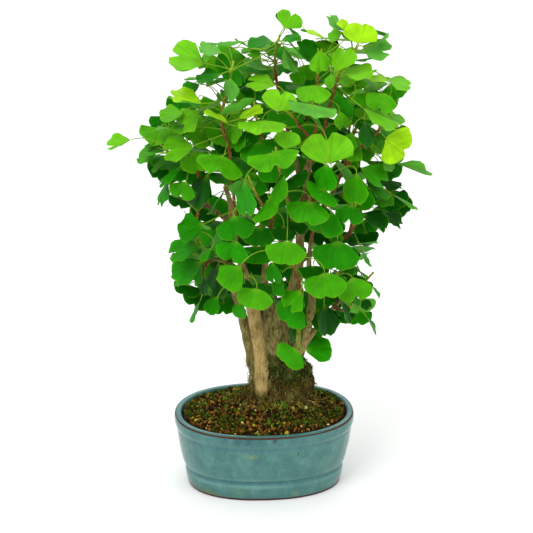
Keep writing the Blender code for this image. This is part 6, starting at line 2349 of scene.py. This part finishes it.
# Moss, grass and fine roots
@dataclass
class Undergrowth:
    """What grows and lies on the soil and on the trunk's foot.

    Rows of the shown straws are (view x, view y, length, direction in degrees, radius, colour); rows of
    the clumps of grass are (view x, view y, blades, height).
    """

    soil: Soil
    plan: Oval
    tufts_on_wood: int = 900
    tufts_on_soil: int = 420
    blades: int = 6
    seed: int = 51
    moss_length: tuple[float, float] = (1.6, 3.6)
    moss_radius: tuple[float, float] = (0.22, 0.42)
    moss_colours: tuple = ("1a2a05", "2c400a", "4a6210", "6c8420", "5e4c1a", "3a2c10", "7a6c28", "55601c")
    moss_odds: tuple = (0.3, 0.28, 0.2, 0.08, 0.06, 0.08, 0.0, 0.0)
    earth_odds: tuple = (0.04, 0.08, 0.1, 0.06, 0.26, 0.24, 0.12, 0.1)
    straw_colours: tuple = ("6a5020", "8a7438", "4c3a18", "7c8a30", "8f8a34", "a08a4c")
    grass_colours: tuple = ("4f8a16", "6aa42a", "3a6c10", "88a83c")
    hair_colours: tuple = ("8c7a44", "6c5a2a", "a89660", "4c3c1a", "6f7a2a")
    straws: int = 230
    hairs: int = 240
    hair_heights: tuple[float, float] = (108.0, 158.0)
    rim_half: tuple[float, float] = (91.0, 61.0)
    shown_straws: tuple = (
        (298, 400, 30, -12, 0.75, "a58650"), (286, 405, 22, 10, 0.5, "8d7238"),
        (302, 385, 16, -60, 0.5, "9a8248"), (293, 378, 14, 70, 0.4, "8f7a46"),
        (262, 416, 12, 40, 0.45, "9c8c3a"), (254, 392, 12, 120, 0.4, "7a6230"))
    clumps: tuple = (
        (281, 408, 11, 10.0), (318, 390, 8, 5.0), (329, 393, 8, 4.5), (268, 422, 4, 7.0), (338, 412, 8, 5.0),
        (222, 400, 8, 4.5), (205, 405, 8, 4.5), (240, 390, 8, 5.0), (306, 388, 8, 6.0), (296, 392, 7, 6.0),
        (212, 396, 8, 4.0), (333, 400, 8, 4.0), (252, 396, 6, 5.0), (273, 428, 5, 4.0), (306, 426, 5, 4.0))

    @staticmethod
    def needles(name: str, roots: Array, ways: Array, sizes: Array, colours: Array) -> None:
        """Small closed needles: a triangle at the foot, one at the middle, and a bent tip.

        Args:
            name: Name of the piece.
            roots: Where each stands.
            ways: Which way each points.
            sizes: Length and radius of each.
            colours: Colour of each.
        """
        count = len(roots)
        helper = np.where(np.abs(ways[:, 2:3]) > 0.8, [[1.0, 0.0, 0.0]], [[0.0, 0.0, 1.0]])
        side = unit_rows(np.cross(ways, helper))
        other = np.cross(ways, side)
        turn = np.arange(3) * 2 * math.pi / 3
        ring = side[:, None] * np.cos(turn)[None, :, None] + other[:, None] * np.sin(turn)[None, :, None]
        length, radius = sizes[:, 0:1, None], sizes[:, 1:2, None]
        foot = roots[:, None] + ring * radius
        middle = roots[:, None] + ways[:, None] * length * 0.55 + ring * radius * 0.7
        droop = np.array([0.0, 0.0, -0.12]) * length
        tip = roots[:, None] + ways[:, None] * length + droop + side[:, None] * length * 0.1
        points = np.concatenate([foot, middle, tip], 1).reshape(-1, 3)
        one = np.array([(0, 1, 4), (0, 4, 3), (1, 2, 5), (1, 5, 4), (2, 0, 3), (2, 3, 5), (3, 4, 6),
                        (4, 5, 6), (5, 3, 6), (2, 1, 0)])
        faces = (one[None] + (np.arange(count) * 7)[:, None, None]).reshape(-1, 3)
        piece = add_mesh(name, points, faces, smooth=False)
        set_marks(piece, "strand_colour", np.repeat(colours, 7, axis=0))
        hand_over(piece, Finishes.STRAND.value, "akadama_soil", "soil")

    def tufts(self, name: str, places: Array, normals: Array, random: np.random.Generator) -> None:
        """Moss tufts: needles that fan out about the surface's normal.

        Args:
            name: Name of the piece.
            places: Where tufts stand.
            normals: The surface's normals there.
            random: Source of the spread.
        """
        roots = np.repeat(places, self.blades, axis=0) + random.normal(0, 0.7, (len(places) * self.blades, 3))
        ways = unit_rows(np.repeat(normals, self.blades, axis=0) + random.normal(0, 0.55, (len(roots), 3)))
        sizes = [random.uniform(low, high, len(roots)) for low, high in (self.moss_length, self.moss_radius)]
        kinds = np.array([linear(code) for code in self.moss_colours])
        green, brown = (random.choice(len(kinds), len(places), p=odds)
                        for odds in (self.moss_odds, self.earth_odds))
        low = (places[:, 2] < 131 + random.normal(0, 5, len(places))) & (places[:, 2] > 100)
        picked = kinds[np.where(low, brown, green)]
        colours = np.repeat(picked, self.blades, axis=0)
        self.needles(name, roots - ways * 0.8, ways, np.column_stack(sizes), colours)

    def build_moss(self, wood: bpy.types.Object, random: np.random.Generator) -> None:
        """Moss on the trunk's foot, where its mark is strong, and in patches on the soil.

        Args:
            wood: The trunk.
            random: Source of the choice.
        """
        points, normals = surface_of(wood)
        marks = np.empty(len(points) * 4)
        wood.data.attributes["bark_marks"].data.foreach_get("color", marks)
        ground = self.soil.surface(points[:, 0], points[:, 1])
        mossy = np.nonzero((marks[2::4] > 0.45) & (points[:, 2] > ground - 0.5))[0]
        chosen = random.choice(mossy, min(self.tufts_on_wood, len(mossy)), replace=False)
        self.tufts("moss_on_trunk", points[chosen], normals[chosen], random)
        places = self.soil.grain_places(self.plan, self.tufts_on_soil * 3, random)
        patch = lattice_noise(places, 26.0, 5) + lattice_noise(places, 9.0, 6) * 0.5
        places = places[np.argsort(-patch)[:self.tufts_on_soil]] + (0, 0, 1.4)
        self.tufts("moss_on_soil", places, np.tile([0.0, 0.0, 1.0], (len(places), 1)), random)

    def strands(self, name: str, paths: list[Array], codes: list[str]) -> None:
        """Thin strands along paths, each of one colour.

        Args:
            name: Name of the piece.
            paths: Rows of x, y, z, radius for each strand.
            codes: sRGB hex colour of each strand.
        """
        meshes = [tube(spline(path, 4), 5) for path in paths]
        piece = add_mesh(name, *joined(meshes))
        colours = [np.tile(linear(code), (len(points), 1)) for (points, _), code in zip(meshes, codes)]
        set_marks(piece, "strand_colour", np.concatenate(colours))
        hand_over(piece, Finishes.STRAND.value, "akadama_soil", "soil")

    def lying(self, x: float, y: float, length: float, way: float, radius: float,
              random: np.random.Generator) -> Array:
        """A fine root or straw that lies on the soil, from the place that shows at (x, y).

        Args:
            x: Where it starts in the view, from the left.
            y: Where it starts in the view, from the top.
            length: Its length.
            way: Its direction in degrees.
            radius: Its thickness.
            random: Source of its waver.

        Returns:
            Rows of x, y, z, radius.
        """
        start = VIEW.eye.copy()
        ray = VIEW.place(x, y, 0.0) - start
        shares = np.linspace(0.94, 1.06, 400)[:, None]
        line = start + ray * shares
        below = np.nonzero(line[:, 2] < self.soil.surface(line[:, 0], line[:, 1]))[0]
        start = line[below[0]] if len(below) else line[-1]
        steps = np.linspace(0, length, 7)
        turns = np.cumsum(random.normal(0, 0.2, 7)) + math.radians(way)
        plan = start[:2] + np.column_stack([np.cos(turns), np.sin(turns)]) * steps[:, None]
        plan /= np.maximum(1.0, np.hypot(*(plan / self.rim_half).T))[:, None]
        height = self.soil.surface(*plan.T) + 1.6 + random.uniform(0, 1.3, 7)
        size = radius * np.array([0.7, 1, 1, 0.9, 0.8, 0.6, 0.3])
        return np.column_stack([plan, height, size])

    def build_straws(self, random: np.random.Generator) -> None:
        """Fine roots and straws on the soil: the ones that show, and a scatter of others."""
        paths = [self.lying(*row[:5], random) for row in self.shown_straws]
        codes = [row[5] for row in self.shown_straws]
        for number in range(self.straws):
            on_mound = number % 4 > 0
            x = random.normal(280, 20) if on_mound else random.uniform(200, 335)
            y = random.uniform(388, 410) if on_mound else random.uniform(392, 428)
            paths.append(self.lying(x, y, random.uniform(5, 14), random.uniform(0, 360), 0.36, random))
            codes.append(str(random.choice(self.straw_colours)))
        self.strands("fine_roots_on_soil", paths, codes)

    def build_grass(self, random: np.random.Generator) -> None:
        """Blades of grass that stand in small clumps on the soil."""
        paths, codes = [], []
        shares = np.linspace(0, 1, 5)
        for x, y, count, tall in self.clumps:
            for _ in range(count):
                at = x + random.normal(0, 2.6), y + random.normal(0, 1.2)
                foot = self.lying(*at, 1.0, 0.0, 0.3, random)[0]
                lean = random.normal(0, 0.45, 2)
                height = tall * random.uniform(0.5, 1.1)
                plan = foot[:2] + np.outer(shares**1.6 * height, lean)
                rise = foot[2] - 2.0 + shares * height
                paths.append(np.column_stack([plan, rise, [0.42, 0.45, 0.38, 0.26, 0.08]]))
                codes.append(str(random.choice(self.grass_colours)))
        self.strands("grass_blades", paths, codes)

    def build_hair_roots(self, wood: bpy.types.Object, random: np.random.Generator) -> None:
        """Hair roots that hang from the trunk's foot and left edge, and a few white threads.

        Args:
            wood: The trunk.
            random: Source of their curls.
        """
        points, normals = surface_of(wood)
        foot, top = self.hair_heights
        x, _, z = points.T
        low = np.nonzero((z > foot) & (z < top) & (np.abs(x - 16) < 48))[0]
        paths, codes = [], []
        shares = np.linspace(0, 1, 5)[:, None]
        for number in random.choice(low, self.hairs, replace=False):
            at, way = points[number], normals[number]
            reach = random.uniform(2.0, 8.0)
            fall = np.array([0.0, 0.0, -1.0]) * reach * 0.9
            curl = random.normal(0, 1.1, (5, 3)) * shares
            line = at - way * 0.6 + way * reach * 0.55 * np.sqrt(shares) + fall * shares**2 + curl
            paths.append(np.column_stack([line, np.linspace(0.32, 0.12, 5)]))
            codes.append(str(random.choice(self.hair_colours)))
        self.strands("hair_roots", paths, codes)

    def build(self, wood: bpy.types.Object) -> None:
        """Build moss, straws, grass and hair roots.

        Args:
            wood: The trunk, whose foot they grow on.
        """
        random = np.random.default_rng(self.seed)
        self.build_moss(wood, random)
        self.build_straws(random)
        self.build_grass(random)
        self.build_hair_roots(wood, random)


# Stage
@dataclass
class Studio:
    """Plain pale floor, soft light and the camera at the picture's angle."""

    floor_half: float = 60.0
    sensor: float = 36.0
    lit_place: tuple[float, float, float] = (0.0, 0.0, 0.28)
    lamps: tuple = (
        ("key", (-1.3, -1.9, 2.6), 1.7, 44.0),
        ("fill", (1.9, -1.4, 1.5), 1.6, 10.0),
        ("back", (0.4, 2.2, 2.2), 1.8, 14.0))
    zenith: float = 1.3
    horizon: float = 0.5

    def build(self) -> None:
        """Lay the floor, hang the lamps, light the room and set the camera."""
        half = self.floor_half / MM
        corners = np.array([(x * half, y * half, -0.05) for x, y in ((-1, -1), (1, -1), (1, 1), (-1, 1))])
        floor = add_mesh("studio_floor", corners, [[0, 1, 2, 3]], smooth=False)
        floor.data.materials.append(Finishes.PAPER.value.material())
        for lamp in self.lamps:
            self.hang(*lamp)
        world = bpy.data.worlds.new("room")
        bpy.context.scene.world = world
        world.use_nodes = True
        tree = world.node_tree
        way = add_node(tree, "TexCoord").outputs["Generated"]
        rise = add_node(tree, "SeparateXYZ", {0: way}).outputs["Z"]
        glow = add_node(tree, "MapRange", {"Value": rise, "To Min": self.horizon, "To Max": self.zenith})
        for key, value in (("Color", (1.0, 1.0, 1.0, 1.0)), ("Strength", glow)):
            feed(tree, tree.nodes["Background"].inputs[key], value)
        bpy.context.scene.view_settings.view_transform = "Standard"
        self.set_camera()

    def hang(self, name: str, place: tuple, size: float, power: float) -> None:
        """Hang one soft lamp that faces the crown.

        Args:
            name: Its name.
            place: Where it hangs, in metres.
            size: Side of its square, in metres.
            power: Its power in watts.
        """
        light = bpy.data.lights.new(name, "AREA")
        light.energy, light.size = power, size
        lamp = add_object(name, light)
        to = np.array(self.lit_place) - np.array(place)
        lamp.location = place
        lamp.rotation_euler = (math.acos(-unit(to)[2]), 0.0, math.atan2(to[1], to[0]) - math.pi / 2)

    def set_camera(self) -> None:
        """Stand the camera at the picture's eye, looking down by its rise."""
        lens = bpy.data.cameras.new("camera")
        lens.sensor_width = self.sensor
        lens.lens = self.sensor * VIEW.scale / VIEW.size
        camera = add_object("camera", lens)
        camera.location = VIEW.eye * MM
        camera.rotation_euler = (math.pi / 2 - VIEW.rise, 0.0, 0.0)
        bpy.context.scene.camera = camera


def main() -> None:
    """Build the pot, soil, tree and stage in order."""
    logging.basicConfig(level=logging.INFO, format="%(name)s: %(message)s")
    Studio().build()
    pot = Pot()
    pot.build()
    for name, offset in (("drain_mesh_left", -pot.drain_offset), ("drain_mesh_right", pot.drain_offset)):
        DrainMesh(name, offset).build(pot)
    soil = Soil()
    soil.build(pot.plan)
    twigs = [twig_of(shoot) for shoot in SHOOTS]
    trunk = Trunk(soil, twigs)
    wood = trunk.build()
    crown = Crown(twigs)
    stems = [tube(grown(smooth_path(limb.knots, 1)), limb.sides) for limb in LIMBS]
    stems += [tube(grown(twig.stub), 4) for twig in twigs]
    crown.grow(stems + [trunk.block()])
    Foliage(crown).build()
    Undergrowth(soil, pot.plan).build(wood)


if __name__ == "__main__":
    main()
